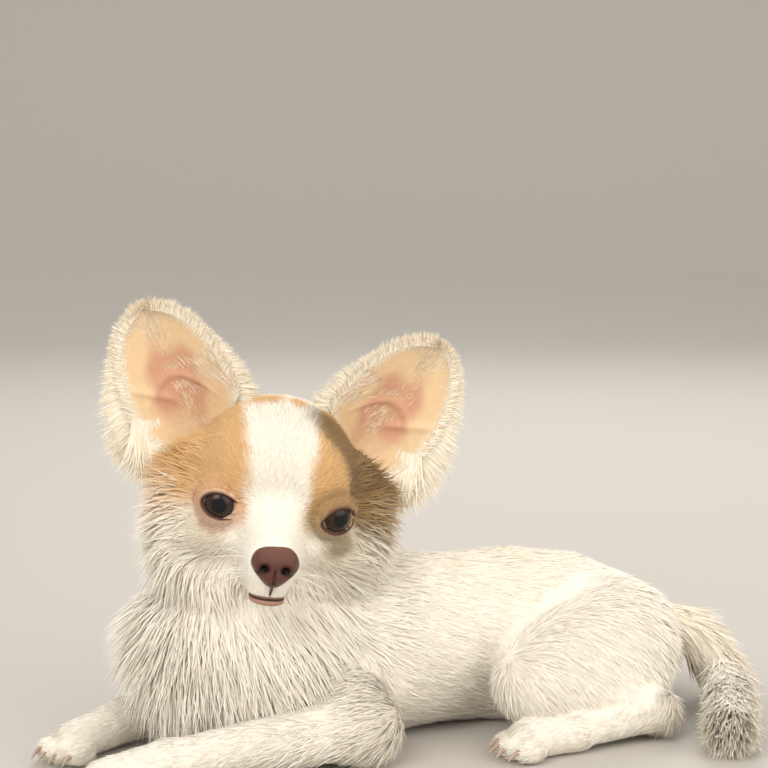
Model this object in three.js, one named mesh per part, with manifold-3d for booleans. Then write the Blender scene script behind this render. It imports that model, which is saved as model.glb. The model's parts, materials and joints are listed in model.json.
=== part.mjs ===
// A long-haired chihuahua puppy lying with its forelegs stretched out, its head turned to its left.
// Millimetres, +Z up, the floor at Z 0. The body points along -Y, its left side is +X.
import * as THREE from "three";
import { mergeVertices } from "three/addons/utils/BufferGeometryUtils.js";
import Module from "manifold-3d";

const wasm = await Module();
wasm.setup();

// Driving sizes
const GAP = 0.5; // between neighbouring pieces
const BACK_HEIGHT = 72; // floor to the top of the loin
const CHEST_HALF_WIDTH = 36;
const EYE_SPACING = 42; // centre to centre
const EYE_RADIUS = 8;
const SKULL = { halfWidth: 33, halfLength: 36, halfHeight: 31 };
const NOSE = { halfWidth: 8.6, halfDepth: 6.5, halfHeight: 7.6 };
const EAR = { height: 47, halfWidth: 21, cup: 12, thickness: 2.6 };
const FORELEG_RADIUS = 9.5;
const TAIL_RADIUS = 6;
const HEAD_TURN = 76; // degrees to the dog's left of straight ahead
const HEAD_LIFT = 3; // degrees up
const HEAD_TILT = 8; // degrees, left ear down
const EYES_MIDDLE = new THREE.Vector3(48, -98, 102);

const COAT_WHITE = 0xe9e1cf;
const COAT_TAN = 0xd2a467;
const EAR_SKIN = 0xcf9a78;
const NOSE_BROWN = 0x5a2c22;
const EYE_DARK = 0x120d0b;

const vec = (x, y, z) => new THREE.Vector3(x, y, z);
const radians = THREE.MathUtils.degToRad;
const mix = THREE.MathUtils.lerp;

// A repeatable draw between -1 and 1.
function makeDraw(seed) {
  let state = seed;
  return () => {
    state = (state * 16807) % 2147483647;
    return (state / 2147483647) * 2 - 1;
  };
}

// Fields: each takes a point and gives roughly how far outside the form it is.
function ellipsoid(centre, half, lean = 0, turn = 0) {
  const back = new THREE.Quaternion()
    .setFromEuler(new THREE.Euler(radians(lean), 0, radians(turn), "ZXY"))
    .invert();
  const local = vec(0, 0, 0);
  return (p) => {
    local.copy(p).sub(centre).applyQuaternion(back);
    const near = Math.hypot(local.x / half.x, local.y / half.y, local.z / half.z);
    const slope = Math.hypot(local.x / half.x ** 2, local.y / half.y ** 2, local.z / half.z ** 2);
    return slope < 1e-9 ? -Math.min(half.x, half.y, half.z) : (near * (near - 1)) / slope;
  };
}

function limb(from, to, fromRadius, toRadius) {
  const along = to.clone().sub(from);
  const lengthSq = along.lengthSq();
  const offset = vec(0, 0, 0);
  return (p) => {
    offset.copy(p).sub(from);
    const share = THREE.MathUtils.clamp(offset.dot(along) / lengthSq, 0, 1);
    offset.addScaledVector(along, -share);
    return offset.length() - mix(fromRadius, toRadius, share);
  };
}

function blended(softness, ...fields) {
  return (p) =>
    fields.reduce((kept, field) => {
      const next = field(p);
      const share = THREE.MathUtils.clamp(0.5 + (next - kept) / (2 * softness), 0, 1);
      return mix(next, kept, share) - softness * share * (1 - share);
    }, 1e3);
}

// Where a ray from inside first leaves the form grown by `grow`.
function skinPoint(field, from, direction, grow = 0, reach = 160) {
  const p = vec(0, 0, 0);
  const outside = (d) => field(p.copy(from).addScaledVector(direction, d)) - grow > 0;
  const step = 1.5;
  let low = 0;
  while (low < reach && !outside(low + step)) low += step;
  let high = low + step;
  for (let i = 0; i < 14; i++) {
    const middle = (low + high) / 2;
    if (outside(middle)) high = middle;
    else low = middle;
  }
  return from.clone().addScaledVector(direction, (low + high) / 2);
}

// A closed mesh from rings of equal length, with a point at each end.
function ringsSolid(rings, firstTip, lastTip) {
  const sides = rings[0].length;
  const places = [firstTip, ...rings.flat(), lastTip];
  const last = places.length - 1;
  const index = [];
  for (let j = 0; j < sides; j++) {
    const k = (j + 1) % sides;
    index.push(0, 1 + k, 1 + j);
    index.push(last, last - sides + j, last - sides + k);
    for (let i = 0; i + 1 < rings.length; i++) {
      const a = 1 + i * sides;
      const b = a + sides;
      index.push(a + j, a + k, b + k, a + j, b + k, b + j);
    }
  }
  return closedSolid(places, index);
}

function closedSolid(places, index) {
  const geometry = new THREE.BufferGeometry().setFromPoints(places);
  geometry.setIndex(index);
  return solidOf(geometry);
}

// A closed three.js geometry as a solid, turned the right way out.
function solidOf(geometry) {
  const bare = geometry.clone();
  bare.deleteAttribute("normal");
  bare.deleteAttribute("uv");
  const merged = mergeVertices(bare, 1e-4);
  const triVerts = new Uint32Array(merged.index.array);
  const vertProperties = new Float32Array(merged.attributes.position.array);
  const made = new wasm.Manifold(new wasm.Mesh({ numProp: 3, vertProperties, triVerts }));
  if (made.volume() > 0) return made;
  for (let i = 0; i < triVerts.length; i += 3) {
    [triVerts[i + 1], triVerts[i + 2]] = [triVerts[i + 2], triVerts[i + 1]];
  }
  return new wasm.Manifold(new wasm.Mesh({ numProp: 3, vertProperties, triVerts }));
}

// Wraps a field with rings about a spine; the rings fan round both ends of it.
function wrapped(field, spine, rings, sides, fan, grow = 0, up = vec(0, 0, 1)) {
  const curve = new THREE.CatmullRomCurve3(spine);
  const ringAt = (share, tilt) => {
    const origin = curve.getPoint(share);
    const along = curve.getTangent(share);
    const across = vec(0, 0, 0).crossVectors(along, up).normalize();
    const over = vec(0, 0, 0).crossVectors(across, along).normalize();
    return Array.from({ length: sides }, (_, j) => {
      const angle = (2 * Math.PI * j) / sides;
      const direction = vec(0, 0, 0)
        .addScaledVector(across, Math.cos(angle) * Math.cos(tilt))
        .addScaledVector(over, Math.sin(angle) * Math.cos(tilt))
        .addScaledVector(along, Math.sin(tilt));
      return skinPoint(field, origin, direction, grow);
    });
  };
  const all = [];
  const fanTilt = (i) => (Math.PI / 2) * (1 - i / fan);
  for (let i = 1; i < fan; i++) all.push(ringAt(0, -fanTilt(i)));
  for (let i = 0; i <= rings; i++) all.push(ringAt(i / rings, 0));
  for (let i = fan - 1; i > 0; i--) all.push(ringAt(1, fanTilt(i)));
  const first = skinPoint(field, spine[0], curve.getTangent(0).negate(), grow);
  const last = skinPoint(field, spine.at(-1), curve.getTangent(1), grow);
  return ringsSolid(all, first, last);
}

// A section carried along a path: `shape(share)` gives its half width and half thickness.
function swept(points, flatNormal, shape, sides = 6) {
  const rings = points.map((point, i) => {
    const along = points[Math.min(i + 1, points.length - 1)].clone().sub(points[Math.max(i - 1, 0)]).normalize();
    const across = vec(0, 0, 0).crossVectors(along, flatNormal).normalize();
    const over = vec(0, 0, 0).crossVectors(across, along);
    const [wide, thick] = shape(i / (points.length - 1));
    return Array.from({ length: sides }, (_, j) => {
      const angle = (2 * Math.PI * j) / sides;
      return point
        .clone()
        .addScaledVector(across, wide * Math.cos(angle))
        .addScaledVector(over, thick * Math.sin(angle));
    });
  });
  return ringsSolid(rings, points[0].clone(), points.at(-1).clone());
}

// One flat tapered lock: it leaves along `lie`, bends by `sag` and ends in a point.
function lock(root, lie, flatNormal, sag, size, grow = 0) {
  const { length, width, thickness, sunk = 3, bends = [0.3, 0.66] } = size;
  const at = (share) =>
    root.clone().addScaledVector(lie, length * share).addScaledVector(sag, share * share);
  const shares = [-sunk / length, ...bends];
  const rings = shares.map((share) => {
    const point = share < 0 ? root.clone().addScaledVector(lie, -sunk) : at(share);
    const along = share < 0 ? lie : at(share + 0.05).sub(at(share - 0.05)).normalize();
    const across = vec(0, 0, 0).crossVectors(along, flatNormal).normalize();
    const over = vec(0, 0, 0).crossVectors(across, along);
    const fullness = share < 0 ? 0.85 : 1 - 0.62 * share ** 1.6;
    const wide = (width / 2) * fullness + grow;
    const thick = (thickness / 2) * fullness + grow;
    return [
      point.clone().addScaledVector(across, wide),
      point.clone().addScaledVector(over, thick),
      point.clone().addScaledVector(across, -wide),
      point.clone().addScaledVector(over, -thick),
    ];
  });
  return ringsSolid(rings, root.clone().addScaledVector(lie, -sunk - 0.4), at(1 + grow / length));
}

// The way a form faces at a point near its surface.
function facing(field, p) {
  const step = 0.5;
  const slope = (axis) => field(p.clone().add(axis)) - field(p.clone().sub(axis));
  return vec(slope(vec(step, 0, 0)), slope(vec(0, step, 0)), slope(vec(0, 0, step))).normalize();
}

// A lock's lie: along `flow` as far as the surface lets it, lifted off by `lift`.
function lieOn(normal, flow, lift) {
  return flow.clone().addScaledVector(normal, -flow.dot(normal)).normalize().addScaledVector(normal, lift).normalize();
}

// Locks all over a form: each spot gives its root, flow, lift, bend and size.
function grownLocks(field, spots, grow) {
  return spots.map(({ root, flow, lift, sag, size }) => {
    const normal = facing(field, root);
    return lock(root, lieOn(normal, flow, lift), normal, sag, size, grow);
  });
}

const joined = (solids) => wasm.Manifold.union(solids);
const onFloor = (solid) => solid.trimByPlane([0, 0, 1], 0);
const cutBy = (solid, ...cutters) => cutters.reduce((left, cutter) => left.subtract(cutter), solid);
const SMALLEST_EDGE = 0.16; // slivers under this size are closed up
const largest = (solid) =>
  solid.decompose().reduce((kept, piece) => (piece.volume() > kept.volume() ? piece : kept));

function geometryOf(solid) {
  const { numProp, vertProperties, triVerts } = solid.getMesh();
  const places = new Float32Array((vertProperties.length / numProp) * 3);
  for (let i = 0; i < places.length / 3; i++) {
    places.set(vertProperties.subarray(i * numProp, i * numProp + 3), i * 3);
  }
  const geometry = new THREE.BufferGeometry();
  geometry.setAttribute("position", new THREE.BufferAttribute(places, 3));
  geometry.setIndex(new THREE.BufferAttribute(new Uint32Array(triVerts), 1));
  geometry.computeVertexNormals();
  return geometry;
}

const coat = (color) => new THREE.MeshStandardMaterial({ color, roughness: 0.9, metalness: 0 });
const wet = (color, roughness) => new THREE.MeshStandardMaterial({ color, roughness, metalness: 0 });

function node(name, solid, material) {
  const mesh = new THREE.Mesh(geometryOf(largest(solid.simplify(SMALLEST_EDGE))), material);
  mesh.name = name;
  return mesh;
}

const mirrored = (p) => vec(-p.x, p.y, p.z);
const onSide = (side, p) => (side > 0 ? p : mirrored(p));

// Head, in its own frame: origin at the skull's centre, face towards -Y, left ear towards +X
const EYE_LINE = -8;
const NOSE_CENTRE = vec(0, -46, -25.5);
const headField = blended(
  8,
  ellipsoid(vec(0, 4, 1), vec(SKULL.halfWidth, SKULL.halfLength, SKULL.halfHeight)),
  ellipsoid(vec(19, -4, -18), vec(15, 23, 15)),
  ellipsoid(vec(-19, -4, -18), vec(15, 23, 15)),
  ellipsoid(vec(11, -19, 3), vec(15, 13, 15)),
  ellipsoid(vec(-11, -19, 3), vec(15, 13, 15)),
  limb(vec(0, -22, -21), vec(0, -38, -27), 14.5, 11),
  limb(vec(0, -26, -15), vec(0, -42, -21), 9, 7),
  limb(vec(0, -12, -31), vec(0, -36, -37), 12.5, 7),
);
const headSpine = [vec(0, 12, -2), vec(0, -8, -8), vec(0, -24, -18), vec(0, -34, -27)];
const headForm = (grow) => wrapped(headField, headSpine, 10, 20, 5, grow);

const headPlace = new THREE.Group();
headPlace.rotation.order = "ZXY";
headPlace.rotation.set(radians(-HEAD_LIFT), radians(HEAD_TILT), radians(HEAD_TURN));
headPlace.position.copy(EYES_MIDDLE).sub(vec(0, -30, EYE_LINE).applyEuler(headPlace.rotation));
headPlace.updateMatrixWorld(true);
const inWorld = (solid) => solid.transform(headPlace.matrixWorld.elements);

const eyeCentre = (side) => vec((side * EYE_SPACING) / 2, -23.5, EYE_LINE);

// A ball with its poles ahead and behind, or squashed to the half sizes given.
function ball(centre, half, wide = 14, tall = 9) {
  const sphere = new THREE.SphereGeometry(1, wide, tall).rotateX(Math.PI / 2);
  return solidOf(sphere.scale(half.x, half.y, half.z).translate(centre.x, centre.y, centre.z));
}
const cube = (half) => vec(half, half, half);
const eyeBall = (side, grow = 0) => ball(eyeCentre(side), cube(EYE_RADIUS + grow));

// A lid stands over the eye as a shell with an almond opening that slants up outwards.
const LID_THICKNESS = 1.5;
const LID_OPENING = vec(7.4, 16, 5.6);
function opening(side) {
  const slant = new THREE.SphereGeometry(1, 14, 8).rotateX(Math.PI / 2);
  slant.scale(LID_OPENING.x, LID_OPENING.y, LID_OPENING.z).rotateY(radians(-side * 7));
  slant.rotateZ(radians(side * 24));
  const at = eyeCentre(side).add(vec(side * 4.4, -10, 0));
  return solidOf(slant.translate(at.x, at.y, at.z));
}

function noseForm(grow = 0) {
  const half = vec(NOSE.halfWidth + grow, NOSE.halfDepth + grow, NOSE.halfHeight + grow);
  return ball(NOSE_CENTRE, half, 14, 9);
}
function noseSolid() {
  const nostrils = [1, -1].map((side) =>
    ball(NOSE_CENTRE.clone().add(vec(side * 4.3, -6.2, -0.8)), vec(1.9, 2.6, 1.6), 10, 6),
  );
  return cutBy(noseForm(), ...nostrils);
}

// The mouth is a groove that follows the lips round the muzzle from corner to corner.
function mouthGroove() {
  const turns = [-1, -0.8, -0.55, -0.28, 0, 0.28, 0.55, 0.8, 1];
  const path = turns.map((t) => {
    const out = vec(Math.sin(t * 1.35), -Math.cos(t * 1.35), 0);
    const from = vec(0, -30, -38.4 + 2.2 * t * t);
    return skinPoint(headField, from, out);
  });
  return swept(path, vec(0, 0, 1), (share) => [2, 0.55 + 0.35 * Math.sin(Math.PI * share)], 6);
}
// Cheek locks sweep out, down and back behind the jaw and below the ears.
const CHEEK_LOCK = { length: 25, width: 12, thickness: 2.8, sunk: 4 };
function cheekLocks(grow) {
  const draw = makeDraw(808);
  const spots = [1, -1].flatMap((side) =>
    Array.from({ length: 8 }, (_, i) => {
      const row = Math.floor(i / 4);
      const drop = (i % 4) / 3;
      const middle = vec(side * 12, 6 + 11 * row, mix(0, -14, drop));
      const out = vec(side, 0.1 + 0.25 * row, mix(-0.1, -0.75, drop)).normalize();
      const root = skinPoint(headField, middle, out, -1);
      const flow = vec(side * 0.45, 0.45 + 0.1 * draw(), -1);
      const length = CHEEK_LOCK.length * mix(0.85, 1.05, drop) * (1 + 0.12 * draw());
      return { root, flow, lift: 0.62 + 0.1 * draw(), sag: vec(0, 0, -3), size: { ...CHEEK_LOCK, length } };
    }),
  );
  return grownLocks(headField, spots, grow);
}
function headSolid() {
  const lids = [1, -1].map((side) => ball(eyeCentre(side), cube(EYE_RADIUS + LID_THICKNESS)));
  const whole = joined([headForm(0), ...lids, ...cheekLocks(0)]);
  return cutBy(
    whole, eyeBall(1, GAP), eyeBall(-1, GAP), opening(1), opening(-1), noseForm(GAP), mouthGroove(),
  );
}
const headGrown = inWorld(joined([headForm(GAP), noseForm(GAP), eyeBall(1, 2), eyeBall(-1, 2), ...cheekLocks(GAP)]));

// Ear: a cupped leaf with a round tip
const earRoot = vec(35, 8, 17);
const earAlong = vec(0.5, 0.02, 0.86).normalize();
const earAcross = vec(0.84, 0.2, -0.5).normalize();
const earBack = vec(0, 0, 0).crossVectors(earAlong, earAcross).normalize();
const EAR_FRINGE = { length: 12, width: 10, thickness: 2, sunk: 3, bends: [0.42] };
const EAR_SUNK = 0.28; // share of the ear's height below its root
function earPoint(side, share, v) {
  const s = mix(-EAR_SUNK, 1, share);
  const width = EAR.halfWidth * (1 - Math.max(0, s) ** 3.2) ** 0.62 * (1 + 1.5 * Math.min(0, s));
  const depth = EAR.cup * (1 - 0.75 * Math.max(0, s)) * (1 - v * v);
  const p = earRoot
    .clone()
    .addScaledVector(earAlong, s * EAR.height)
    .addScaledVector(earAcross, width * v)
    .addScaledVector(earBack, depth);
  return onSide(side, p);
}

function earLeaf(side, grow = 0) {
  const along = 9;
  const across = 6;
  const faces = [1, -1].map((face) => {
    const grid = [];
    for (let i = 0; i <= along; i++) {
      for (let j = 0; j <= across; j++) {
        const share = 1 - (1 - i / along) ** 1.25;
        const v = (2 * j) / across - 1;
        const keep = Math.min(share, 0.985);
        const dAlong = earPoint(side, keep + 0.01, v).sub(earPoint(side, keep - 0.01, v));
        const dAcross = earPoint(side, keep, v + 0.02).sub(earPoint(side, keep, v - 0.02));
        const normal = dAlong.cross(dAcross).normalize().multiplyScalar(-side);
        const rim = Math.max(Math.abs(v) ** 4, share ** 8);
        const half = mix(EAR.thickness, 1.2, rim) / 2 + grow;
        grid.push(earPoint(side, keep, v * (1 + grow / EAR.halfWidth)).addScaledVector(normal, face * half));
      }
    }
    return grid;
  });
  const row = across + 1;
  const count = faces[0].length;
  const index = [];
  for (let i = 0; i < along; i++) {
    for (let j = 0; j < across; j++) {
      const a = i * row + j;
      index.push(a, a + 1, a + row + 1, a, a + row + 1, a + row);
      const b = a + count;
      index.push(b, b + row + 1, b + 1, b, b + row, b + row + 1);
    }
  }
  const rim = [];
  for (let j = 0; j < across; j++) rim.push(j);
  for (let i = 0; i < along; i++) rim.push(i * row + across);
  for (let j = across; j > 0; j--) rim.push(along * row + j);
  for (let i = along; i > 0; i--) rim.push(i * row);
  rim.forEach((a, k) => {
    const b = rim[(k + 1) % rim.length];
    index.push(b, a, a + count, b, a + count, b + count);
  });
  return closedSolid([...faces[0], ...faces[1]], index);
}

// The fringe stands out from both edges of the ear, longest low on the outer edge.
function earSolid(side, grow = 0) {
  const draw = makeDraw(side > 0 ? 411 : 977);
  const edges = [
    { edge: 1, count: 9, from: 0.2, to: 0.95, low: 1.3, high: 0.7 },
    { edge: -1, count: 6, from: 0.36, to: 0.9, low: 1, high: 0.65 },
  ];
  const locks = edges.flatMap(({ edge, count, from, to, low, high }) =>
    Array.from({ length: count }, (_, i) => {
      const share = mix(from, to, i / (count - 1));
      const root = earPoint(side, share, edge * 0.93);
      const out = earPoint(side, share, edge).sub(earPoint(side, share, edge * 0.8)).normalize();
      const up = earPoint(side, share + 0.01, edge).sub(earPoint(side, share - 0.01, edge)).normalize();
      const lie = out.addScaledVector(up, mix(-0.5, 0.35, share) + 0.15 * draw()).normalize();
      const flat = vec(0, 0, 0).crossVectors(lie, up).normalize();
      const length = EAR_FRINGE.length * mix(low, high, (share - from) / (to - from)) * (1 + 0.15 * draw());
      return lock(root, lie, flat, vec(0, 0, -1.5), { ...EAR_FRINGE, length }, grow);
    }),
  );
  return joined([earLeaf(side, grow), ...locks]);
}

// Body fields
const torsoField = blended(
  16,
  ellipsoid(vec(0, -46, 36), vec(CHEST_HALF_WIDTH, 54, 40)),
  ellipsoid(vec(0, 10, BACK_HEIGHT - 37), vec(30, 56, 38)),
  ellipsoid(vec(0, 46, 27), vec(33, 47, 35)),
);
const torsoSpine = [vec(0, -62, 34), vec(0, -20, 34), vec(0, 20, 34), vec(0, 58, 30)];
const torsoForm = (grow) => wrapped(torsoField, torsoSpine, 11, 18, 4, grow);
const CHEST_END = -34;
const LOIN_END = 36;
const aheadOf = (solid, y) => solid.trimByPlane([0, -1, 0], -y + GAP / 2);
const behind = (solid, y) => solid.trimByPlane([0, 1, 0], y + GAP / 2);

// The ruff's outer form, out to the tips of its hair
const ruffField = blended(
  16,
  ellipsoid(vec(0, -94, 44), vec(47, 54, 46)),
  ellipsoid(vec(8, -90, 82), vec(41, 49, 32)),
);
const ruffSpine = [vec(0, -92, 30), vec(3, -91, 58), vec(10, -90, 84)];
const RUFF_CORE_DEPTH = 13; // how far the dense coat stays below the tips
const RUFF_LOCK = { length: 31, width: 15, thickness: 3.6, sunk: 5 };
const ruffCore = (grow) =>
  wrapped(ruffField, ruffSpine, 7, 16, 3, grow - RUFF_CORE_DEPTH, vec(0, -1, 0.2));
const headBack = headPlace.matrixWorld.clone().invert();
function ruffLocks(grow) {
  const draw = makeDraw(2026);
  const curve = new THREE.CatmullRomCurve3(ruffSpine);
  const rows = 6;
  const around = 10;
  const spots = [];
  for (let row = 0; row < rows; row++) {
    const middle = curve.getPoint(row / (rows - 1)).add(vec(0, 0, 6));
    for (let i = 0; i < around; i++) {
      const angle = (2 * Math.PI * (i + 0.5 * (row % 2) + 0.22 * draw())) / around;
      const direction = vec(Math.sin(angle), -Math.cos(angle), mix(-0.15, 0.35, row / (rows - 1)));
      const root = skinPoint(ruffField, middle, direction.normalize(), -RUFF_CORE_DEPTH);
      const inHead = headField(root.clone().applyMatrix4(headBack)) < 3;
      const inBody = Math.min(torsoField(root), limbNear(root)) < 2;
      if (inHead || inBody) continue;
      const flow = vec(0.3 * draw(), 0.35 + 0.3 * draw(), -1);
      const length = RUFF_LOCK.length * (1 + 0.14 * draw());
      spots.push({ root, flow, lift: 0.72 + 0.1 * draw(), sag: vec(0, 0, -5), size: { ...RUFF_LOCK, length } });
    }
  }
  return grownLocks(ruffField, spots, grow);
}
const ruffForm = (grow) => joined([ruffCore(grow), ...ruffLocks(grow)]);

// Forelegs reach forward and swing a little to the dog's left
const FORELEG = {
  1: { shoulder: vec(30, -66, 28), elbow: vec(44, -62, 15), wrist: vec(49, -140, 10), toes: vec(55, -166, 8) },
  [-1]: { shoulder: vec(-28, -67, 28), elbow: vec(-36, -64, 15), wrist: vec(-12, -142, 10), toes: vec(4, -167, 8) },
};
const FEATHER = { length: 18, width: 9, thickness: 2.6, sunk: 4, bends: [0.42] };
const forelegField = (side) => {
  const { shoulder, elbow, wrist } = FORELEG[side];
  return blended(8, limb(shoulder, elbow, 16, 14), limb(elbow, wrist, 14, FORELEG_RADIUS));
};
const legFields = [forelegField(1), forelegField(-1)];
const limbNear = (p) => Math.min(...legFields.map((field) => field(p)));

// Feathers trail from the back edge of the foreleg and from the elbow.
function forelegForm(side, grow) {
  const field = forelegField(side);
  const { elbow, wrist } = FORELEG[side];
  const draw = makeDraw(side > 0 ? 71 : 93);
  const spots = Array.from({ length: 6 }, (_, i) => {
    const middle = elbow.clone().lerp(wrist, 0.02 + 0.12 * i);
    const out = vec(side, 0.5, mix(0.55, 0.05, i / 6)).normalize();
    const root = skinPoint(field, middle, out, -1.5);
    const flow = vec(side * 0.4, 1, -0.35 + 0.15 * draw());
    const length = mix(FEATHER.length, 10, i / 6);
    return { root, flow, lift: 0.4, sag: vec(0, 0, -1.5), size: { ...FEATHER, length } };
  });
  const core = wrapped(field, [elbow, wrist], 6, 12, 3, grow);
  return joined([core, ...grownLocks(field, spots, grow)]);
}

// Toes and claws stand on the ground ahead of the pad.
function pawForm(wrist, toes, grow = 0) {
  const forward = vec(toes.x - wrist.x, toes.y - wrist.y, 0).normalize();
  const across = vec(-forward.y, forward.x, 0);
  const field = limb(wrist, toes, FORELEG_RADIUS, 8.5);
  const pieces = [wrapped(field, [wrist, toes], 3, 12, 3, grow)];
  for (const k of [-1.5, -0.5, 0.5, 1.5]) {
    const place = toes.clone().addScaledVector(across, k * 5.6).addScaledVector(forward, 7 - Math.abs(k) * 2.4);
    place.z = 5.4;
    const turned = new THREE.SphereGeometry(1, 6, 4).scale(3.7 + grow, 8 + grow, 5.8 + grow);
    turned.rotateZ(Math.atan2(-forward.x, forward.y) + Math.PI);
    pieces.push(solidOf(turned.translate(place.x, place.y, place.z)));
    const clawRoot = place.clone().addScaledVector(forward, 6.2).add(vec(0, 0, 0.4));
    pieces.push(lock(clawRoot, forward, across, vec(0, 0, -2.4), CLAW, grow));
  }
  return joined(pieces);
}
const CLAW = { length: 5, width: 2.2, thickness: 2, sunk: 2, bends: [0.45] };

// Hind legs are folded beside the belly, with the foot flat on the ground.
const HIND = (side) => ({
  hip: onSide(side, vec(25, 52, 38)),
  knee: onSide(side, vec(48, 8, 26)),
  hock: onSide(side, vec(54, 58, 12)),
  ankle: onSide(side, vec(59, 20, 8.5)),
  toes: onSide(side, vec(61, 0, 8)),
});
const thighField = (side) => {
  const { hip, knee, hock } = HIND(side);
  return blended(
    12,
    limb(hip, knee, 25, 17),
    limb(knee, hock, 15, 10),
    ellipsoid(onSide(side, vec(41, 36, 30)), vec(17, 32, 24)),
  );
};

// The thigh's back edge carries trousers of longer hair.
function thighForm(side, grow) {
  const field = thighField(side);
  const spine = [onSide(side, vec(38, 52, 30)), onSide(side, vec(44, 16, 28))];
  const draw = makeDraw(side > 0 ? 515 : 626);
  const spots = Array.from({ length: 9 }, (_, i) => {
    const height = i % 3;
    const turn = Math.floor(i / 3);
    const out = vec(side * mix(1, -0.15, turn / 2), mix(0.55, 1, turn / 2), mix(-0.2, 0.7, height / 2));
    const root = skinPoint(field, spine[0], out.normalize(), -2);
    const flow = vec(side * 0.1 * draw(), 0.8, -1);
    const length = 19 * (1 + 0.12 * draw());
    return { root, flow, lift: 0.36, sag: vec(0, 0, -3), size: { ...FEATHER, length, width: 12 } };
  });
  const core = wrapped(field, spine, 5, 12, 3, grow);
  return joined([core, ...grownLocks(field, spots, grow)]);
}
function footForm(side, grow) {
  const { hock, ankle, toes } = HIND(side);
  const field = blended(4, limb(hock, ankle, 9.5, 8), limb(ankle, toes, 8, 8));
  const shank = wrapped(field, [hock, ankle, toes], 6, 10, 2, grow);
  return joined([shank, pawForm(ankle, toes, grow)]);
}

// Tail: from the rump down to the ground and round to the dog's left
const tailCurve = new THREE.CatmullRomCurve3([
  vec(0, 78, 36), vec(4, 96, 32), vec(13, 106, 18), vec(32, 102, 13), vec(54, 92, 12), vec(72, 82, 11),
]);
const TAIL_PARTING = 0.42;
const TAIL_LOCK = { length: 27, width: 12, thickness: 2.8, sunk: 3.5 };
function tailPart(from, to, rings, around, seed, grow) {
  const steps = Math.round((to - from) * 16);
  const points = [];
  for (let i = 0; i <= steps; i++) points.push(tailCurve.getPoint(mix(from, to, i / steps)));
  const core = swept(points, vec(0.3, 0.2, 1).normalize(), () => [TAIL_RADIUS + grow, TAIL_RADIUS + grow], 8);
  const draw = makeDraw(seed);
  const pieces = [core];
  for (let row = 0; row < rings; row++) {
    const t = mix(from, to, (row + 0.45) / rings);
    const middle = tailCurve.getPoint(t);
    const along = tailCurve.getTangent(t);
    const across = vec(0, 0, 0).crossVectors(along, vec(0, 0, 1)).normalize();
    const over = vec(0, 0, 0).crossVectors(across, along);
    for (let i = 0; i < around; i++) {
      const angle = (2 * Math.PI * (i + 0.5 * (row % 2) + 0.12 * draw())) / around;
      const out = vec(0, 0, 0).addScaledVector(across, Math.cos(angle)).addScaledVector(over, Math.sin(angle));
      const root = middle.clone().addScaledVector(out, TAIL_RADIUS - 0.5);
      const rise = root.z < 9 ? 0.35 : 0;
      const lie = along.clone().addScaledVector(out, 0.38 + 0.06 * draw()).add(vec(0, 0, rise)).normalize();
      const length = TAIL_LOCK.length * (1 + 0.15 * draw()) * (t > 0.9 ? 0.85 : 1);
      pieces.push(lock(root, lie, out, vec(0, 0, root.z > 12 ? -3 : 0), { ...TAIL_LOCK, length }, grow));
    }
  }
  if (to === 1) pieces.push(...tailTip(grow));
  return joined(pieces);
}
// The last locks carry on past the tail's end and fan out.
function tailTip(grow) {
  const end = tailCurve.getPoint(0.97);
  const along = tailCurve.getTangent(1);
  const across = vec(0, 0, 0).crossVectors(along, vec(0, 0, 1)).normalize();
  return [-1, 0, 1].map((k) => {
    const root = end.clone().addScaledVector(across, 3 * k).add(vec(0, 0, 1.5 * Math.abs(k)));
    const lie = along.clone().addScaledVector(across, 0.24 * k).normalize();
    return lock(root, lie, vec(0, 0, 1), vec(0, 0, -1), { ...TAIL_LOCK, length: TAIL_LOCK.length + 7 }, grow);
  });
}
const tailRoot = (grow) => tailPart(0, TAIL_PARTING, 2, 4, 31, grow);
const tailPlume = (grow) => tailPart(TAIL_PARTING + 0.005, 1, 4, 4, 57, grow);

// Solids
const torso = onFloor(cutBy(torsoForm(0), headGrown));
const torsoGrown = torsoForm(GAP);
const SIDES = { left: 1, right: -1 };
const root = new THREE.Group();
const solids = {};
solids.chest = aheadOf(torso, CHEST_END);
solids.loin = aheadOf(behind(torso, CHEST_END), LOIN_END);
solids.rump = behind(torso, LOIN_END);
const forelegsGrown = [];
for (const [name, side] of Object.entries(SIDES)) {
  const { wrist, toes } = FORELEG[side];
  const pawGrown = pawForm(wrist, toes, GAP);
  const legGrown = forelegForm(side, GAP);
  forelegsGrown.push(pawGrown, legGrown);
  solids["foreleg_" + name] = cutBy(onFloor(forelegForm(side, 0)), torsoGrown, pawGrown);
  solids["forepaw_" + name] = onFloor(pawForm(wrist, toes));
  const footGrown = footForm(side, GAP);
  solids["thigh_" + name] = cutBy(onFloor(thighForm(side, 0)), torsoGrown, footGrown);
  solids["hindfoot_" + name] = cutBy(onFloor(footForm(side, 0)), torsoGrown);
}
const hindGrown = joined([thighForm(1, GAP), thighForm(-1, GAP), footForm(1, GAP), footForm(-1, GAP)]);
solids.tail_root = cutBy(onFloor(tailRoot(0)), torsoGrown, hindGrown);
solids.tail_plume = cutBy(onFloor(tailPlume(0)), torsoGrown, hindGrown, tailRoot(GAP));
const earsGrown = inWorld(joined([earSolid(1, GAP), earSolid(-1, GAP)]));
const RUFF_FLOOR = 1.5;
const neckClear = [torsoGrown, headGrown, earsGrown, ...forelegsGrown];
solids.neck = cutBy(ruffForm(0).trimByPlane([0, 0, 1], RUFF_FLOOR), ...neckClear);

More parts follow.
